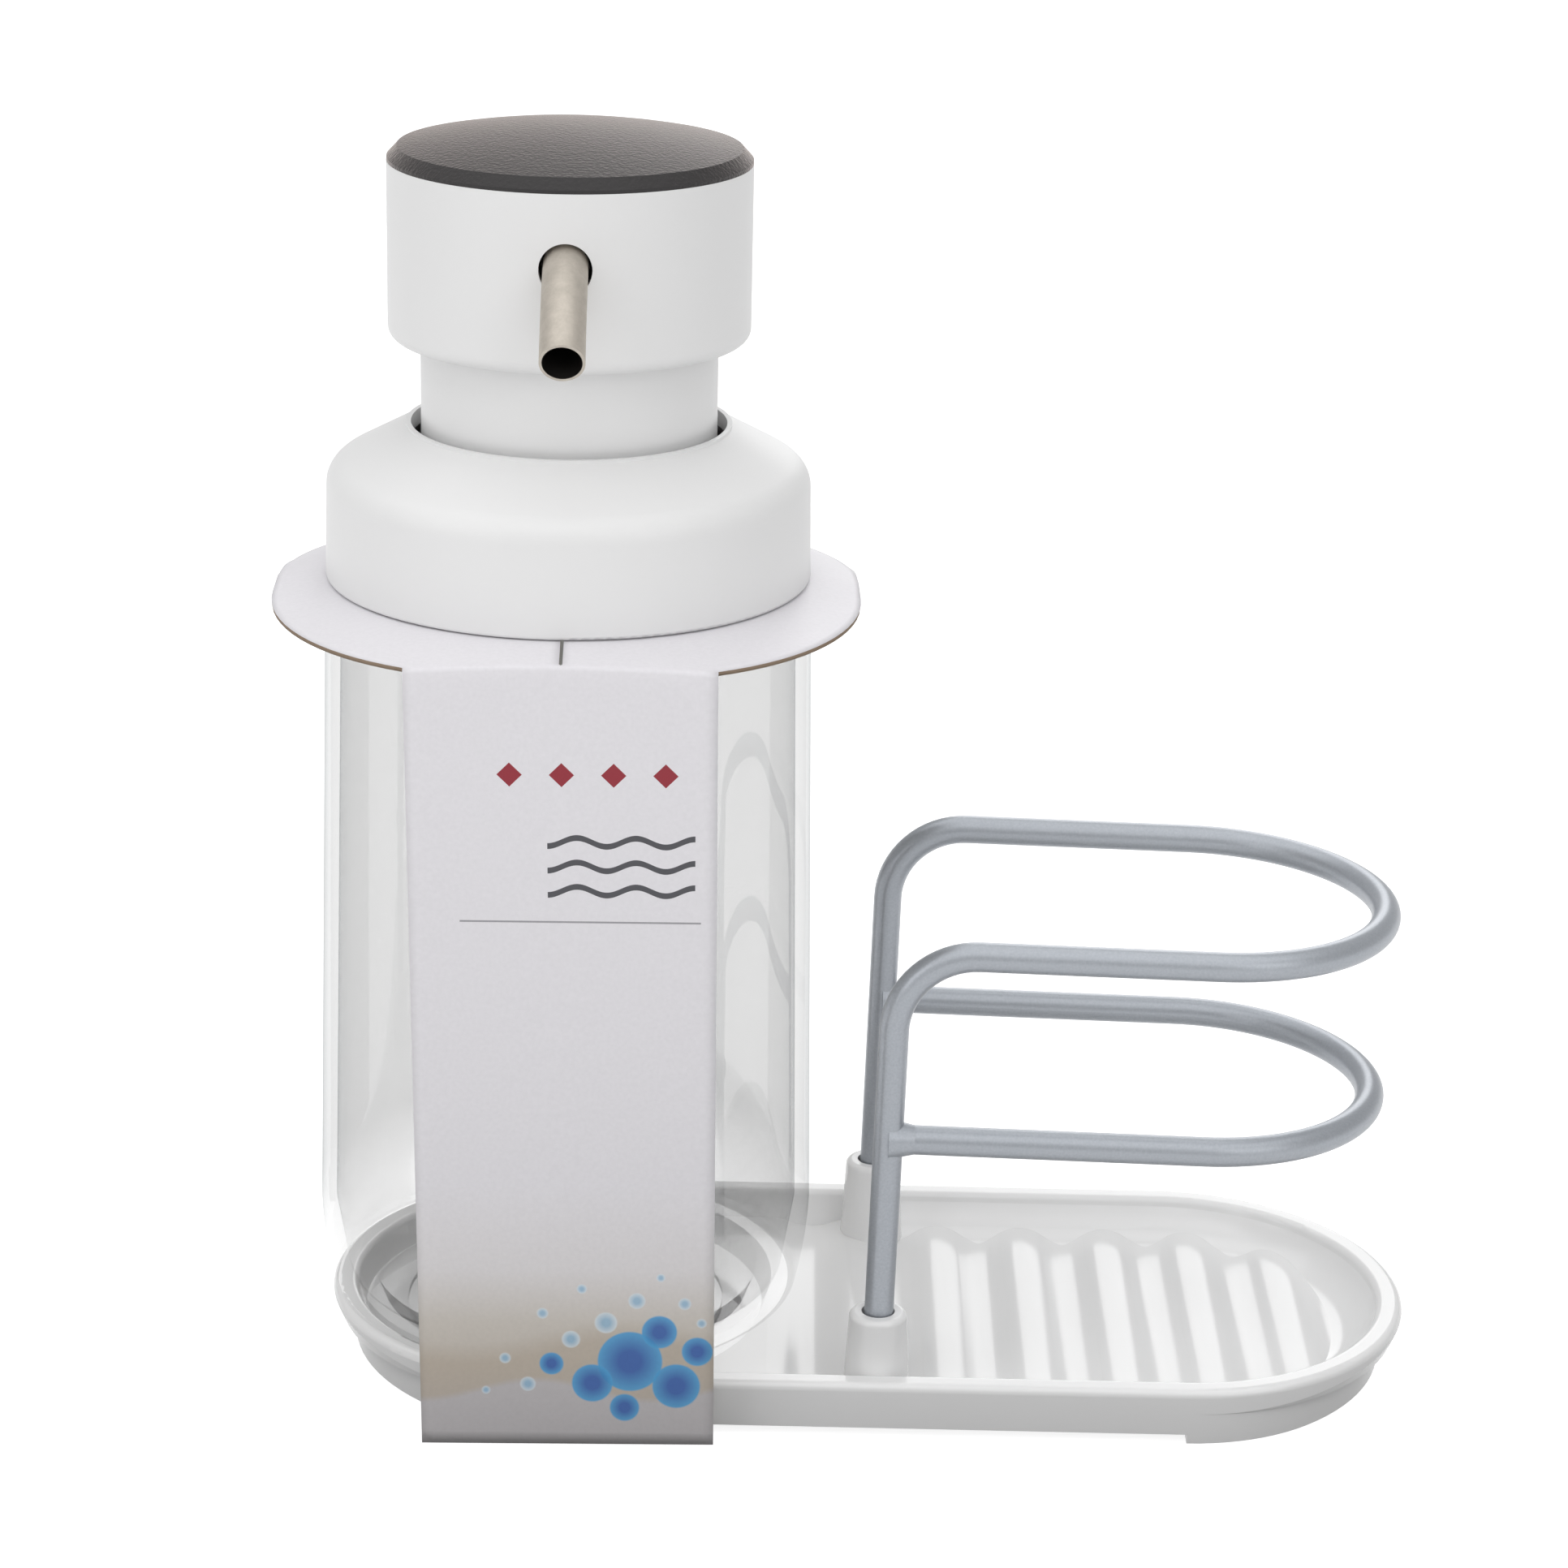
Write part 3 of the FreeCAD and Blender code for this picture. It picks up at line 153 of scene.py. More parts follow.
half_paper = PAPER_SIDE / 2
paper_mesh = bpy.data.meshes.new("floor")
paper_mesh.from_pydata([(-half_paper, -half_paper, 0), (half_paper, -half_paper, 0),
                        (half_paper, half_paper, 0), (-half_paper, half_paper, 0)], [], [(0, 1, 2, 3)])
floor = bpy.data.objects.new("floor", paper_mesh)
scene.collection.objects.link(floor)
studio_paper, tree = fresh("studio_paper")
place = add(tree, "ShaderNodeTexCoord").outputs["Object"]
oval = add(tree, "ShaderNodeVectorMath", {0: place, 1: PAPER_SQUEEZE}, operation="MULTIPLY")
away = add(tree, "ShaderNodeVectorMath", {0: oval}, operation="LENGTH").outputs["Value"]
# Painted shadow: bounced light sees the paper dark near the tray, fading to pale further out.
reach = add(tree, "ShaderNodeMapRange", {"Value": away, "From Min": NEAR_REACH, "From Max": FAR_REACH})
tone = add(tree, "ShaderNodeMix", {0: reach, 6: linear(PAPER_PAINTED_SHADOW), 7: linear(PAPER_FAR)}, data_type="RGBA")
paper = add(tree, "ShaderNodeBsdfDiffuse", {"Color": tone.outputs[2]})
shade = add(tree, "ShaderNodeBsdfDiffuse", {"Color": PAPER_SHADE})
glow = add(tree, "ShaderNodeEmission", {"Strength": PAPER_GLOW})
white = add(tree, "ShaderNodeAddShader", {0: glow, 1: shade})
either_way = add(tree, "ShaderNodeMixShader", {0: seen_directly(tree), 1: paper, 2: white})
add(tree, "ShaderNodeOutputMaterial", {"Surface": either_way})
paper_mesh.materials.append(studio_paper)

white_room = bpy.data.worlds.new("white_room")
white_room.use_nodes = True
tree = white_room.node_tree
tree.nodes.clear()
way = add(tree, "ShaderNodeSeparateXYZ", {0: add(tree, "ShaderNodeTexCoord").outputs["Generated"]})
fall = add(tree, "ShaderNodeMapRange", {"Value": way.outputs["Z"], "From Min": HORIZON_TOP,
                                        "From Max": CEILING_START, "To Min": HORIZON_GLOSS,
                                        "To Max": CEILING_GLOSS})
room = add(tree, "ShaderNodeBackground", {"Strength": ROOM_LIGHT})
backdrop = add(tree, "ShaderNodeBackground", {"Strength": BACKDROP})
mirrored = add(tree, "ShaderNodeBackground", {"Strength": fall})
glossy = add(tree, "ShaderNodeLightPath").outputs["Is Glossy Ray"]
plain = add(tree, "ShaderNodeMixShader", {0: seen_directly(tree), 1: room, 2: backdrop})
either_way = add(tree, "ShaderNodeMixShader", {0: glossy, 1: plain, 2: mirrored})
add(tree, "ShaderNodeOutputWorld", {"Surface": either_way})
scene.world = white_room

middle = (cad_low + cad_high) / 2
for name, spot, wide, tall, watts in SOFTBOXES:
    lamp = bpy.data.lights.new(name, "AREA")
    lamp.shape = "RECTANGLE"
    lamp.size = wide
    lamp.size_y = tall
    lamp.energy = watts
    aim = (middle - Vector(spot)).to_track_quat("-Z", "Y").to_matrix().to_4x4()
    stand = bpy.data.objects.new(name, lamp)
    stand.matrix_world = Matrix.Translation(spot) @ aim
    scene.collection.objects.link(stand)

# Tray: one injection moulding in white ABS from a polished mould, with the wire sockets moulded on.
# It is glossy, so it mirrors the pale backdrop in its ribs, and slow sink waves break those mirror shapes.
TRAY_WHITE = "#eaeaea"
TRAY_ROUGHNESS = (0.136, 0.184)
TRAY_IOR = 1.53
TRAY_WAVE = 9.0 * MM
TRAY_WAVE_DEPTH = 0.03 * MM


def grained(name, grain, depth, detail, roughness, inputs):
    """A material with an even grain, given by its width and depth, and a roughness that runs with it."""
    material, tree = fresh(name)
    place = add(tree, "ShaderNodeTexCoord").outputs["Object"]
    pattern = add(tree, "ShaderNodeTexNoise", {"Vector": place, "Scale": 1 / grain, "Detail": detail})
    relief = add(tree, "ShaderNodeBump", {"Height": pattern, "Distance": depth})
    sheen = add(tree, "ShaderNodeMapRange", {"Value": pattern, "To Min": roughness[0],
                                             "To Max": roughness[1]})
    face = add(tree, "ShaderNodeBsdfPrincipled", {"Roughness": sheen, "Normal": relief, **inputs})
    add(tree, "ShaderNodeOutputMaterial", {"Surface": face})
    return material


def dress(material, *names):
    """Gives CAD nodes a material in place of their plain one."""
    for name in names:
        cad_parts[name].material_slots[0].material = material


dress(grained("gloss_white_abs", TRAY_WAVE, TRAY_WAVE_DEPTH, 1.0, TRAY_ROUGHNESS,
              {"Base Color": linear(TRAY_WHITE), "IOR": TRAY_IOR}), "tray")

# Rack: two hoops of steel wire, bent and welded, then sprayed a satin silver grey, standing in the sockets.
# The metal flakes in the paint show as a faint grain and spread the highlights along the wire. They are
# drawn coarser than real flakes, so that they show.
WIRE_GREY = "#999ea5"
WIRE_LIGHT = "#b0b4ba"
WIRE_METALLIC = 0.48
WIRE_ROUGHNESS = 0.36
FLAKE = 0.35 * MM
FLAKE_DEPTH = 0.01 * MM
silver_paint, tree = fresh("sprayed_silver_paint")
place = add(tree, "ShaderNodeTexCoord").outputs["Object"]
flakes = add(tree, "ShaderNodeTexNoise", {"Vector": place, "Scale": 1 / FLAKE, "Detail": 2.0})
tint = add(tree, "ShaderNodeMix", {0: flakes, 6: linear(WIRE_GREY), 7: linear(WIRE_LIGHT)}, data_type="RGBA")
relief = add(tree, "ShaderNodeBump", {"Height": flakes, "Distance": FLAKE_DEPTH})
paint = add(tree, "ShaderNodeBsdfPrincipled", {"Base Color": tint.outputs[2], "Metallic": WIRE_METALLIC,
                                               "Roughness": WIRE_ROUGHNESS, "Normal": relief})
add(tree, "ShaderNodeOutputMaterial", {"Surface": paint})
dress(silver_paint, "upper_hoop", "lower_hoop")

# Bottle: blown clear plastic with a foot that plugs into the tray.
# Its wall is seen straight through: each face tints what lies behind it a little, more where it is met at
# a slant, and mirrors a little of the room. The foot is clearer, and light on other pieces passes freely.
BOTTLE_TINT = "#efefef"
BOTTLE_EDGE = "#cacccd"
BOTTLE_EDGE_POWER = 8.0
FOOT_TINT = "#fefefe"
FOOT_TOP = 14.0 * MM
WALL_START = 26.0 * MM
BOTTLE_IOR = 1.5
BOTTLE_MIRROR = 0.14
BOTTLE_ROUGHNESS = 0.03
BOTTLE_WAVE = 20.0 * MM
BOTTLE_WAVE_DEPTH = 0.02 * MM
clear_plastic, tree = fresh("clear_blown_plastic")
place = add(tree, "ShaderNodeTexCoord").outputs["Object"]
wave = add(tree, "ShaderNodeTexNoise", {"Vector": place, "Scale": 1 / BOTTLE_WAVE, "Detail": 1.0})
relief = add(tree, "ShaderNodeBump", {"Height": wave, "Distance": BOTTLE_WAVE_DEPTH})
slant = add(tree, "ShaderNodeLayerWeight").outputs["Facing"]
edge = add(tree, "ShaderNodeMath", {0: slant, 1: BOTTLE_EDGE_POWER}, operation="POWER")
wall = add(tree, "ShaderNodeMix", {0: edge, 6: linear(BOTTLE_TINT), 7: linear(BOTTLE_EDGE)},
           data_type="RGBA")
height = add(tree, "ShaderNodeSeparateXYZ", {0: place}).outputs["Z"]
rise = add(tree, "ShaderNodeMapRange", {"Value": height, "From Min": FOOT_TOP, "From Max": WALL_START})
tint = add(tree, "ShaderNodeMix", {0: rise, 6: linear(FOOT_TINT), 7: wall.outputs[2]}, data_type="RGBA")
through = add(tree, "ShaderNodeBsdfTransparent", {"Color": tint.outputs[2]})
mirror = add(tree, "ShaderNodeBsdfGlossy", {"Roughness": BOTTLE_ROUGHNESS, "Normal": relief})
glance = add(tree, "ShaderNodeFresnel", {"IOR": BOTTLE_IOR, "Normal": relief})
share = add(tree, "ShaderNodeMath", {0: glance, 1: BOTTLE_MIRROR}, operation="MULTIPLY")
clear = add(tree, "ShaderNodeMixShader", {0: share, 1: through, 2: mirror})
passing = add(tree, "ShaderNodeBsdfTransparent")
seen = add(tree, "ShaderNodeLightPath").outputs["Is Camera Ray"]
either_way = add(tree, "ShaderNodeMixShader", {0: seen, 1: passing, 2: clear})
add(tree, "ShaderNodeOutputMaterial", {"Surface": either_way})
dress(clear_plastic, "bottle")

# Card: one die-cut sheet of coated board, a ring clamped under the collar, with a panel folded down front
# and back. The ring droops past the collar, more at the back, and a slit runs from its hole to the fold.
# The ring is a grid of rows from the hole to the rim, and the panels hang from the rim's points.
CARD_TURN = math.radians(1.7)
CARD_HOLE = 30.7 * MM
CARD_HALF_WIDTH = 41.2 * MM
CARD_HALF_SIDE = 8.0 * MM
CARD_FOLD = 41.0 * MM
CARD_THICK = 0.6 * MM
CARD_DROOP = math.tan(math.radians(8.7))
BACK_DROOP = math.tan(math.radians(20.0))
BACK_REACH = 16.0 * MM
BACK_POWER = 0.7
FOLD_ROUND = 0.7 * MM
PANEL_HALF_WIDTH = 20.95 * MM
PANEL_LEAN = 1.4 * MM
PANEL_TAPER_SHARE = 0.0175
SLIT = 0.45 * MM
SHEET_SIDE = 200.0 * MM
PRINT_TOP = 130.0 * MM
WELD = 0.001 * MM
FOLD_STEPS = 12
CORNER_STEPS = 16
SIDE_STEPS = 4
RING_STEPS = 12
ROUND_STEPS = 4
PANEL_STEPS = 60
collar_low, collar_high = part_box("collar")
card_low, card_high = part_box("display_card")
pump_axis = (collar_low + collar_high) / 2
clamp_radius = (collar_high.x - collar_low.x) / 2
corner_wide = CARD_HALF_WIDTH - PANEL_HALF_WIDTH
corner_deep = CARD_FOLD - CARD_HALF_SIDE
corner_radius = (corner_wide ** 2 + corner_deep ** 2) / (2 * corner_wide)
corner_middle = Vector((CARD_HALF_WIDTH - corner_radius, CARD_HALF_SIDE))
corner_swing = math.asin(corner_deep / corner_radius)
quarter = [Vector((PANEL_HALF_WIDTH * step / FOLD_STEPS, CARD_FOLD)) for step in range(FOLD_STEPS)]
for step in range(CORNER_STEPS):
    angle = corner_swing * (1 - step / CORNER_STEPS)
    quarter.append(corner_middle + corner_radius * Vector((math.cos(angle), math.sin(angle))))
for step in range(SIDE_STEPS + 1):
    quarter.append(Vector((CARD_HALF_WIDTH, CARD_HALF_SIDE * (1 - step / SIDE_STEPS))))
front_right = [Vector((point.x, -point.y)) for point in quarter]
front_right[0].x = SLIT / 2
outline = front_right[:-1] + quarter[::-1]
outline += [Vector((-point.x, point.y)) for point in outline[::-1][1:]]


def ring_height(point):
    """How high the ring's face lies over a point of the card."""
    back = max(0, min(1, point.y / BACK_REACH)) ** BACK_POWER
    fall = CARD_DROOP + (BACK_DROOP - CARD_DROOP) * back
    return card_high.z - max(0, point.length - clamp_radius) * fall


def card_vertex(point, height, across, along):
    """A vertex of the card, turned with it on the bottle, and its place on the flat sheet."""
    turned = Matrix.Rotation(CARD_TURN, 3, "Z") @ Vector((point.x, point.y, 0))
    made = sheet.verts.new(turned + Vector((pump_axis.x, pump_axis.y, height)))
    flat_spots[made] = (across / SHEET_SIDE + 0.5, along / SHEET_SIDE)
    return made


def join(rows):
    """Fills the strips between neighbouring rows of vertices with faces."""
    for first, second in zip(rows, rows[1:]):
        for step in range(len(first) - 1):
            sheet.faces.new((first[step], first[step + 1], second[step + 1], second[step]))


def hang_panel(numbers, outward):
    """Folds a panel down from the rim along the outline's points of these numbers."""
    columns = []
    for number in numbers:
        point = outline[number].copy()
        top = ring_height(point)
        column = [ring[number][-1]]
        if abs(point.x) < SLIT:
            point.x = 0
        for step in range(1, ROUND_STEPS + 1):
            turn = math.pi / 2 * step / ROUND_STEPS
            spot = Vector((point.x, point.y + outward * FOLD_ROUND * math.sin(turn)))
            column.append(card_vertex(spot, top - FOLD_ROUND * (1 - math.cos(turn)), point.x, PRINT_TOP))
        start = top - FOLD_ROUND
        for step in range(1, PANEL_STEPS + 1):
            part = step / PANEL_STEPS
            height = start + (card_low.z - start) * part
            spot = Vector((point.x * (1 - PANEL_TAPER_SHARE * part) + PANEL_LEAN * part,
                           point.y + outward * FOLD_ROUND))
            along = height - card_low.z if outward < 0 else PRINT_TOP
            column.append(card_vertex(spot, height, point.x, along))
        columns.append(column)
    join(columns)


sheet = bmesh.new()
print_map = sheet.loops.layers.uv.new("print")
flat_spots = {}
ring = []
for point in outline:
    inner = point.normalized() * CARD_HOLE
    if abs(point.x) <= SLIT and point.y < 0:
        inner = Vector((math.copysign(SLIT / 2, point.x), -CARD_HOLE))
    row = []
    for step in range(RING_STEPS + 1):
        spot = inner.lerp(point, step / RING_STEPS)
        row.append(card_vertex(spot, ring_height(spot), spot.x, PRINT_TOP + CARD_FOLD + spot.y))
    ring.append(row)
join(ring)
last = len(outline) - 1
back = last // 2
hang_panel(range(last - FOLD_STEPS, last + 1), -1)
hang_panel(range(FOLD_STEPS + 1), -1)
hang_panel(range(back - FOLD_STEPS, back + FOLD_STEPS + 1), 1)
for face in sheet.faces:
    face.smooth = True
    for loop in face.loops:
        loop[print_map].uv = flat_spots[loop.vert]
bmesh.ops.remove_doubles(sheet, verts=sheet.verts, dist=WELD)
bmesh.ops.recalc_face_normals(sheet, faces=sheet.faces)
card_mesh = bpy.data.meshes.new("printed_card")
sheet.to_mesh(card_mesh)
sheet.free()
card = bpy.data.objects.new("printed_card", card_mesh)
scene.collection.objects.link(card)

# Card print: inks on coated white board, in millimetres across from the panel's middle and up from its foot.
# A soft fade with two swells and bubbles fills the foot, and a rule, waves and lozenges stand above.
# The coat lets the board's fibres show as a faint cloud in the white.
CARD_PAPER = "#e2e0e4"
CARD_ROUGHNESS = 0.5
FIBRE = 0.6 * MM
FIBRE_DEPTH = 0.006 * MM
FIBRE_TONE = (0.94, 1.04)
FADE = (  # ink, height
    ("#a7a6ab", 0.0), ("#c2bfc2", 5.0), ("#c6beb4", 12.0), ("#cec8c0", 19.0), ("#dedbdc", 27.0),
    (CARD_PAPER, 40.0),
)
SWELLS = (  # ink, height, swing, length, shift in radians, softness
    ("#bcb1a3", 16.0, 2.0, 47.0, 0.4, 1.6),
    ("#c3c1c5", 8.5, 1.6, 33.0, 2.4, 0.5),
)
SWELL_COVER = 0.8
DEEP_BUBBLES = (  # across, up, radius
    (9.0, 13.0, 4.6), (15.6, 9.2, 3.4), (3.6, 9.6, 2.9), (13.2, 17.6, 2.5), (18.6, 14.6, 2.2),
    (-2.2, 12.6, 1.7), (8.2, 5.8, 2.1),
)
PALE_BUBBLES = (
    (0.6, 16.4, 1.3), (5.6, 19.0, 1.6), (-5.6, 9.4, 1.1), (10.0, 22.4, 1.2), (16.8, 22.0, 0.9),
    (-8.8, 13.4, 0.8), (-3.4, 20.4, 0.8), (2.2, 24.2, 0.7), (-11.6, 8.4, 0.6), (13.4, 26.0, 0.6),
    (19.2, 19.0, 0.7),
)
BUBBLE_INKS = (  # bubbles, ink in the middle, ink at the edge, cover
    (DEEP_BUBBLES, "#2a5ea9", "#56aadb", 0.94),
    (PALE_BUBBLES, "#8fbbd8", "#e3ebf0", 0.8),
)
BUBBLE_SOFTNESS = 0.12
BUBBLE_CORE_SHARE = 0.35
BUBBLE_EDGE_COVER = 0.9
RULE_INK = "#9a999d"
RULE_ROW = 79.0
RULE_HALF = 0.13
RULE_SPAN = (2.4, 16.4)
WAVE_INK = "#4a4a4f"
WAVE_ROWS = (83.5, 87.0, 90.5)
WAVE_LENGTH = 8.0
WAVE_SWING = 0.6
WAVE_HALF = 0.42
WAVE_SPAN = (8.0, 10.0)
LOZENGE_INK = "#8e2230"
LOZENGE_ROW = 100.0
LOZENGE_PITCH = 7.0
LOZENGE_HALF = 1.7
LOZENGE_SPAN = (3.5, 14.0)
printed_board, tree = fresh("coated_printed_board")
sheet_side = SHEET_SIDE / MM
flat = add(tree, "ShaderNodeMapping", {"Vector": add(tree, "ShaderNodeUVMap", uv_map="print"),
                                       "Location": (-sheet_side / 2, 0, 0),
                                       "Scale": (sheet_side, sheet_side, 1)})
split = add(tree, "ShaderNodeSeparateXYZ", {0: flat})
across, along = split.outputs["X"], split.outputs["Y"]
fade_top = FADE[-1][1]
fade = add(tree, "ShaderNodeMapRange", {"Value": along, "From Max": fade_top})
ramp = add(tree, "ShaderNodeValToRGB", {"Fac": fade})
for code, height in FADE[1:-1]:
    ramp.color_ramp.elements.new(height / fade_top)
for stop, (code, height) in zip(ramp.color_ramp.elements, FADE):
    stop.color = linear(code)
layers = []
for code, height, swing, length, shift, soft in SWELLS:
    turn = add(tree, "ShaderNodeMath", {0: across, 1: math.tau / length, 2: shift}, operation="MULTIPLY_ADD")
    rise = add(tree, "ShaderNodeMath", {0: turn}, operation="SINE")
    crest = add(tree, "ShaderNodeMath", {0: rise, 1: swing, 2: height}, operation="MULTIPLY_ADD")
    under = add(tree, "ShaderNodeMath", {0: crest, 1: along}, operation="SUBTRACT")
    mask = add(tree, "ShaderNodeMapRange", {"Value": under, "From Min": -soft, "From Max": soft,
                                            "To Max": SWELL_COVER})
    layers.append((mask.outputs[0], linear(code)))
for bubbles, core_code, edge_code, cover in BUBBLE_INKS:
    for bubble_across, bubble_up, radius in bubbles:
        away = add(tree, "ShaderNodeVectorMath", {0: flat, 1: (bubble_across, bubble_up, 0)},
                   operation="DISTANCE").outputs["Value"]
        mask = add(tree, "ShaderNodeMapRange", {"Value": away, "From Min": radius + BUBBLE_SOFTNESS,
                                                "From Max": radius - BUBBLE_SOFTNESS, "To Max": cover})
        film = add(tree, "ShaderNodeMapRange", {"Value": away, "From Min": radius * BUBBLE_CORE_SHARE,
                                                "From Max": radius, "To Max": BUBBLE_EDGE_COVER})
        hue = add(tree, "ShaderNodeMix", {0: film, 6: linear(core_code), 7: linear(edge_code)},
                  data_type="RGBA")
        layers.append((mask.outputs[0], hue.outputs[2]))
marks = []
turn = add(tree, "ShaderNodeMath", {0: across, 1: math.tau / WAVE_LENGTH}, operation="MULTIPLY")
rise = add(tree, "ShaderNodeMath", {0: turn}, operation="SINE")
for row in WAVE_ROWS:
    line = add(tree, "ShaderNodeMath", {0: rise, 1: WAVE_SWING, 2: row}, operation="MULTIPLY_ADD")
    mark = add(tree, "ShaderNodeMath", {0: along, 1: line, 2: WAVE_HALF}, operation="COMPARE")
    marks.append((mark, WAVE_SPAN, WAVE_INK))
wrap = add(tree, "ShaderNodeMath", {0: across, 1: LOZENGE_PITCH / 2, 2: -LOZENGE_PITCH / 2},
           operation="WRAP")
aside = add(tree, "ShaderNodeMath", {0: wrap}, operation="ABSOLUTE")
above = add(tree, "ShaderNodeMath", {0: along, 1: LOZENGE_ROW}, operation="SUBTRACT")
above = add(tree, "ShaderNodeMath", {0: above}, operation="ABSOLUTE")
both = add(tree, "ShaderNodeMath", {0: aside, 1: above}, operation="ADD")
mark = add(tree, "ShaderNodeMath", {0: both, 1: LOZENGE_HALF}, operation="LESS_THAN")
marks.append((mark, LOZENGE_SPAN, LOZENGE_INK))
mark = add(tree, "ShaderNodeMath", {0: along, 1: RULE_ROW, 2: RULE_HALF}, operation="COMPARE")
marks.append((mark, RULE_SPAN, RULE_INK))
for mark, (span_middle, span_half), code in marks:
    inside = add(tree, "ShaderNodeMath", {0: across, 1: span_middle, 2: span_half}, operation="COMPARE")
    mask = add(tree, "ShaderNodeMath", {0: mark, 1: inside}, operation="MULTIPLY")
    layers.append((mask.outputs[0], linear(code)))
ink = ramp.outputs["Color"]
for mask, colour in layers:
    ink = add(tree, "ShaderNodeMix", {0: mask, 6: ink, 7: colour}, data_type="RGBA").outputs[2]
place = add(tree, "ShaderNodeTexCoord").outputs["Object"]
fibres = add(tree, "ShaderNodeTexNoise", {"Vector": place, "Scale": 1 / FIBRE, "Detail": 3.0})
cloud = add(tree, "ShaderNodeMapRange", {"Value": fibres, "To Min": FIBRE_TONE[0], "To Max": FIBRE_TONE[1]})
clouded = add(tree, "ShaderNodeVectorMath", {0: ink, "Scale": cloud}, operation="SCALE")
relief = add(tree, "ShaderNodeBump", {"Height": fibres, "Distance": FIBRE_DEPTH})
coat = add(tree, "ShaderNodeBsdfPrincipled", {"Base Color": clouded, "Roughness": CARD_ROUGHNESS,
                                              "Normal": relief})
add(tree, "ShaderNodeOutputMaterial", {"Surface": coat})

# Card board: grey recycled board, dull on its bare back and brown and fibrous where the die cut it.
# Solidify gives the sheet its thickness inwards, with the bare board behind the print and on the edges.
BOARD_BACK = "#cfccc8"
BOARD_BACK_ROUGHNESS = (0.75, 0.85)
BOARD_BACK_DEPTH = 0.01 * MM
BOARD_EDGE = "#8a7866"
BOARD_EDGE_ROUGHNESS = (0.85, 0.95)
BOARD_EDGE_DEPTH = 0.05 * MM
card_mesh.materials.append(printed_board)
card_mesh.materials.append(grained("plain_board_back", FIBRE, BOARD_BACK_DEPTH, 3.0, BOARD_BACK_ROUGHNESS,
                                   {"Base Color": linear(BOARD_BACK)}))
card_mesh.materials.append(grained("raw_cut_board", FIBRE, BOARD_EDGE_DEPTH, 3.0, BOARD_EDGE_ROUGHNESS,
                                   {"Base Color": linear(BOARD_EDGE)}))
board = card.modifiers.new("board", "SOLIDIFY")
board.thickness = CARD_THICK
board.offset = -1
board.material_offset = 1
board.material_offset_rim = 2
solid = bpy.data.meshes.new_from_object(card.evaluated_get(bpy.context.evaluated_depsgraph_get()))
card.modifiers.clear()
card.data = solid
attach(card, "bottle")
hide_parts("display_card")

# Collar, sleeve and head: white polypropylene mouldings from a finely blasted mould.
# The collar screws on the neck, and the sleeve snaps into the head. The blasting gives an even satin face,
# and its grain is drawn coarser than it is.
PUMP_WHITE = "#e6e6e6"
PUMP_ROUGHNESS = (0.38, 0.46)
POLYPROPYLENE_IOR = 1.49
BLAST_GRAIN = 0.5 * MM
BLAST_DEPTH = 0.004 * MM
dress(grained("satin_white_polypropylene", BLAST_GRAIN, BLAST_DEPTH, 2.0, PUMP_ROUGHNESS,
              {"Base Color": linear(PUMP_WHITE), "IOR": POLYPROPYLENE_IOR}),
      "collar", "plunger_sleeve", "head_shell")

# Pad: a domed disc of dark rubber, moulded with a fine leather grain and pressed into the head.
# It is dull, and the light that grazes it turns it paler and a little warm towards the back.
# The grain is drawn coarse and deep enough to show.
PAD_DARK = "#1c191a"
PAD_ROUGHNESS = (0.5, 0.6)
PAD_SHEEN = "#fff3ee"
PAD_SHEEN_ROUGHNESS = 0.3
PAD_GRAIN = 0.55 * MM
PAD_GRAIN_DEPTH = 0.14 * MM
dress(grained("grained_dark_rubber", PAD_GRAIN, PAD_GRAIN_DEPTH, 3.0, PAD_ROUGHNESS,
              {"Base Color": linear(PAD_DARK), "Sheen Weight": 1.0, "Sheen Tint": linear(PAD_SHEEN),
               "Sheen Roughness": PAD_SHEEN_ROUGHNESS}), "press_pad")

# Spout: a drawn stainless tube, bent down, cut off at a slant and rubbed to a satin face with faint scuffs.
# Its bore is painted dark, a painted shade for the tube's unlit inside: the colour turns within a short
# distance of the tube's bent middle line.
# The grain of the rubbing is drawn coarser than it is.
SPOUT_STEEL = "#c3bcb2"
SPOUT_DULL = "#b6afa5"
SPOUT_BORE_SHADE = "#1d1a18"
SPOUT_METALLIC = 0.75
SPOUT_ROUGHNESS = (0.5, 0.68)
SPOUT_GRAIN = 0.25 * MM
SPOUT_SCUFF = 2.2 * MM
SCUFF_RANGE = (0.35, 0.65)
SPOUT_RADIUS = 3.05 * MM
SPOUT_INSIDE_RADIUS = 2.68 * MM
SPOUT_BEND = 33.0 * MM
SPOUT_REACH = 15.1 * MM
spout_low, spout_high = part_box("spout")
bend_middle = Matrix.Rotation(CARD_TURN, 3, "Z") @ Vector((0, -SPOUT_REACH, 0))
bend_middle += Vector((pump_axis.x, pump_axis.y, spout_high.z - SPOUT_RADIUS - SPOUT_BEND))
satin_steel, tree = fresh("rubbed_stainless_steel")
place = add(tree, "ShaderNodeTexCoord").outputs["Object"]
turned = add(tree, "ShaderNodeMapping", {"Vector": place, "Location": bend_middle,
                                         "Rotation": (0, 0, CARD_TURN)}, vector_type="TEXTURE")
beside = add(tree, "ShaderNodeSeparateXYZ", {0: turned}).outputs["X"]
in_plane = add(tree, "ShaderNodeVectorMath", {0: turned, 1: (0, 1, 1)}, operation="MULTIPLY")
out = add(tree, "ShaderNodeVectorMath", {0: in_plane}, operation="LENGTH").outputs["Value"]
off_line = add(tree, "ShaderNodeMath", {0: out, 1: SPOUT_BEND}, operation="SUBTRACT")
both = add(tree, "ShaderNodeCombineXYZ", {"X": beside, "Y": off_line})
depth = add(tree, "ShaderNodeVectorMath", {0: both}, operation="LENGTH").outputs["Value"]
# Painted shade: the inside of the tube is coloured dark near its bent middle line.
bore_shade = add(tree, "ShaderNodeMath", {0: depth, 1: SPOUT_INSIDE_RADIUS}, operation="LESS_THAN")
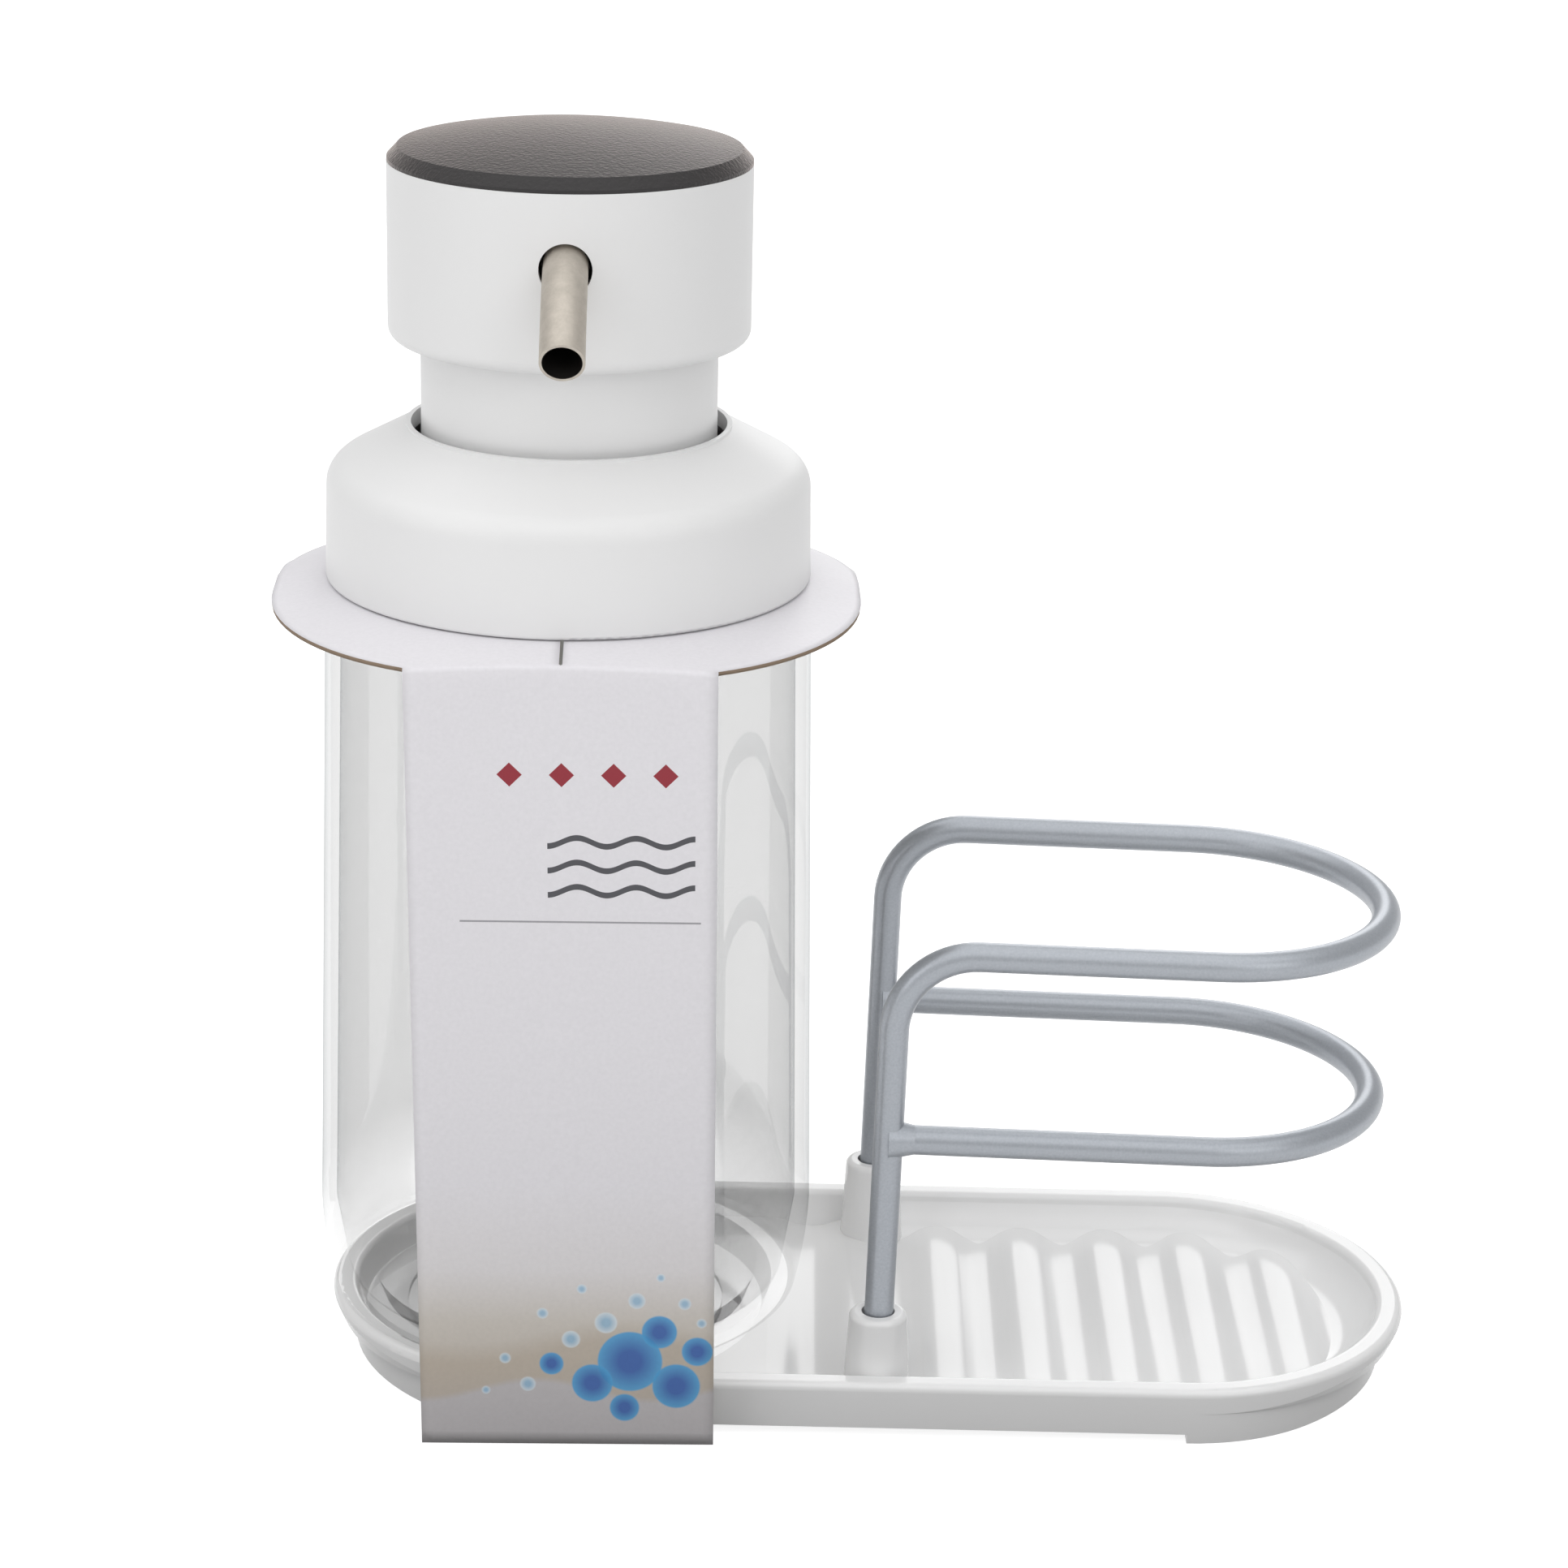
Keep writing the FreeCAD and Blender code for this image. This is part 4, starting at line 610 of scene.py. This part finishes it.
scuffs = add(tree, "ShaderNodeTexNoise", {"Vector": place, "Scale": 1 / SPOUT_SCUFF, "Detail": 4.0,
                                          "Roughness": 0.7})
rubbed = add(tree, "ShaderNodeMapRange", {"Value": scuffs, "From Min": SCUFF_RANGE[0],
                                          "From Max": SCUFF_RANGE[1]})
steel = add(tree, "ShaderNodeMix", {0: rubbed, 6: linear(SPOUT_DULL), 7: linear(SPOUT_STEEL)},
            data_type="RGBA")
tone = add(tree, "ShaderNodeMix", {0: bore_shade, 6: steel.outputs[2], 7: linear(SPOUT_BORE_SHADE)}, data_type="RGBA")
grain = add(tree, "ShaderNodeTexNoise", {"Vector": place, "Scale": 1 / SPOUT_GRAIN, "Detail": 2.0})
sheen = add(tree, "ShaderNodeMapRange", {"Value": grain, "To Min": SPOUT_ROUGHNESS[0],
                                         "To Max": SPOUT_ROUGHNESS[1]})
tube = add(tree, "ShaderNodeBsdfPrincipled", {"Base Color": tone.outputs[2], "Roughness": sheen,
                                              "Metallic": SPOUT_METALLIC})
add(tree, "ShaderNodeOutputMaterial", {"Surface": tube})
dress(satin_steel, "spout")

# Inner pump: undyed polypropylene mouldings and a polyethylene dip tube, which hang from the collar.
# They show only through the bottle or when the collar is unscrewed, with a plain milky satin face.
NATURAL_WHITE = "#dcdcd8"
NATURAL_ROUGHNESS = (0.4, 0.5)
NATURAL_GRAIN = 1.5 * MM
NATURAL_DEPTH = 0.01 * MM
dress(grained("natural_polypropylene", NATURAL_GRAIN, NATURAL_DEPTH, 2.0, NATURAL_ROUGHNESS,
              {"Base Color": linear(NATURAL_WHITE), "IOR": POLYPROPYLENE_IOR}),
      "closure_ring", "pump_housing", "lock_cap", "piston", "stem", "actuator", "dip_tube")

# Gasket and piston seal: soft grey rubber, one flat ring cut from sheet and one moulded lip ring.
# Both are dull, with a faint unevenness from the mould.
SEAL_GREY = "#55575a"
SEAL_ROUGHNESS = (0.65, 0.75)
SEAL_GRAIN = 0.8 * MM
SEAL_DEPTH = 0.02 * MM
dress(grained("soft_seal_rubber", SEAL_GRAIN, SEAL_DEPTH, 2.0, SEAL_ROUGHNESS,
              {"Base Color": linear(SEAL_GREY)}), "neck_gasket", "piston_seal")

# Spring and check balls: bright stainless steel, drawn wire and ground balls, with a grain drawn coarse.
# The spring shown is a copy of the modelled coil, carried with the pump.
BRIGHT_STEEL = "#cfcfcd"
BRIGHT_ROUGHNESS = (0.18, 0.32)
DRAW_GRAIN = 0.3 * MM
DRAW_DEPTH = 0.001 * MM
dress(grained("bright_stainless_steel", DRAW_GRAIN, DRAW_DEPTH, 2.0, BRIGHT_ROUGHNESS,
              {"Base Color": linear(BRIGHT_STEEL), "Metallic": 1.0}),
      "return_spring", "inlet_ball", "outlet_ball")
spring_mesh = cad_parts["return_spring"].data.copy()
coil = bmesh.new()
coil.from_mesh(spring_mesh)
bmesh.ops.remove_doubles(coil, verts=coil.verts, dist=WELD)
coil.to_mesh(spring_mesh)
coil.free()
spring = bpy.data.objects.new("pump_spring", spring_mesh)
scene.collection.objects.link(spring)
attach(spring, "pump")
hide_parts("return_spring")
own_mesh(spring)
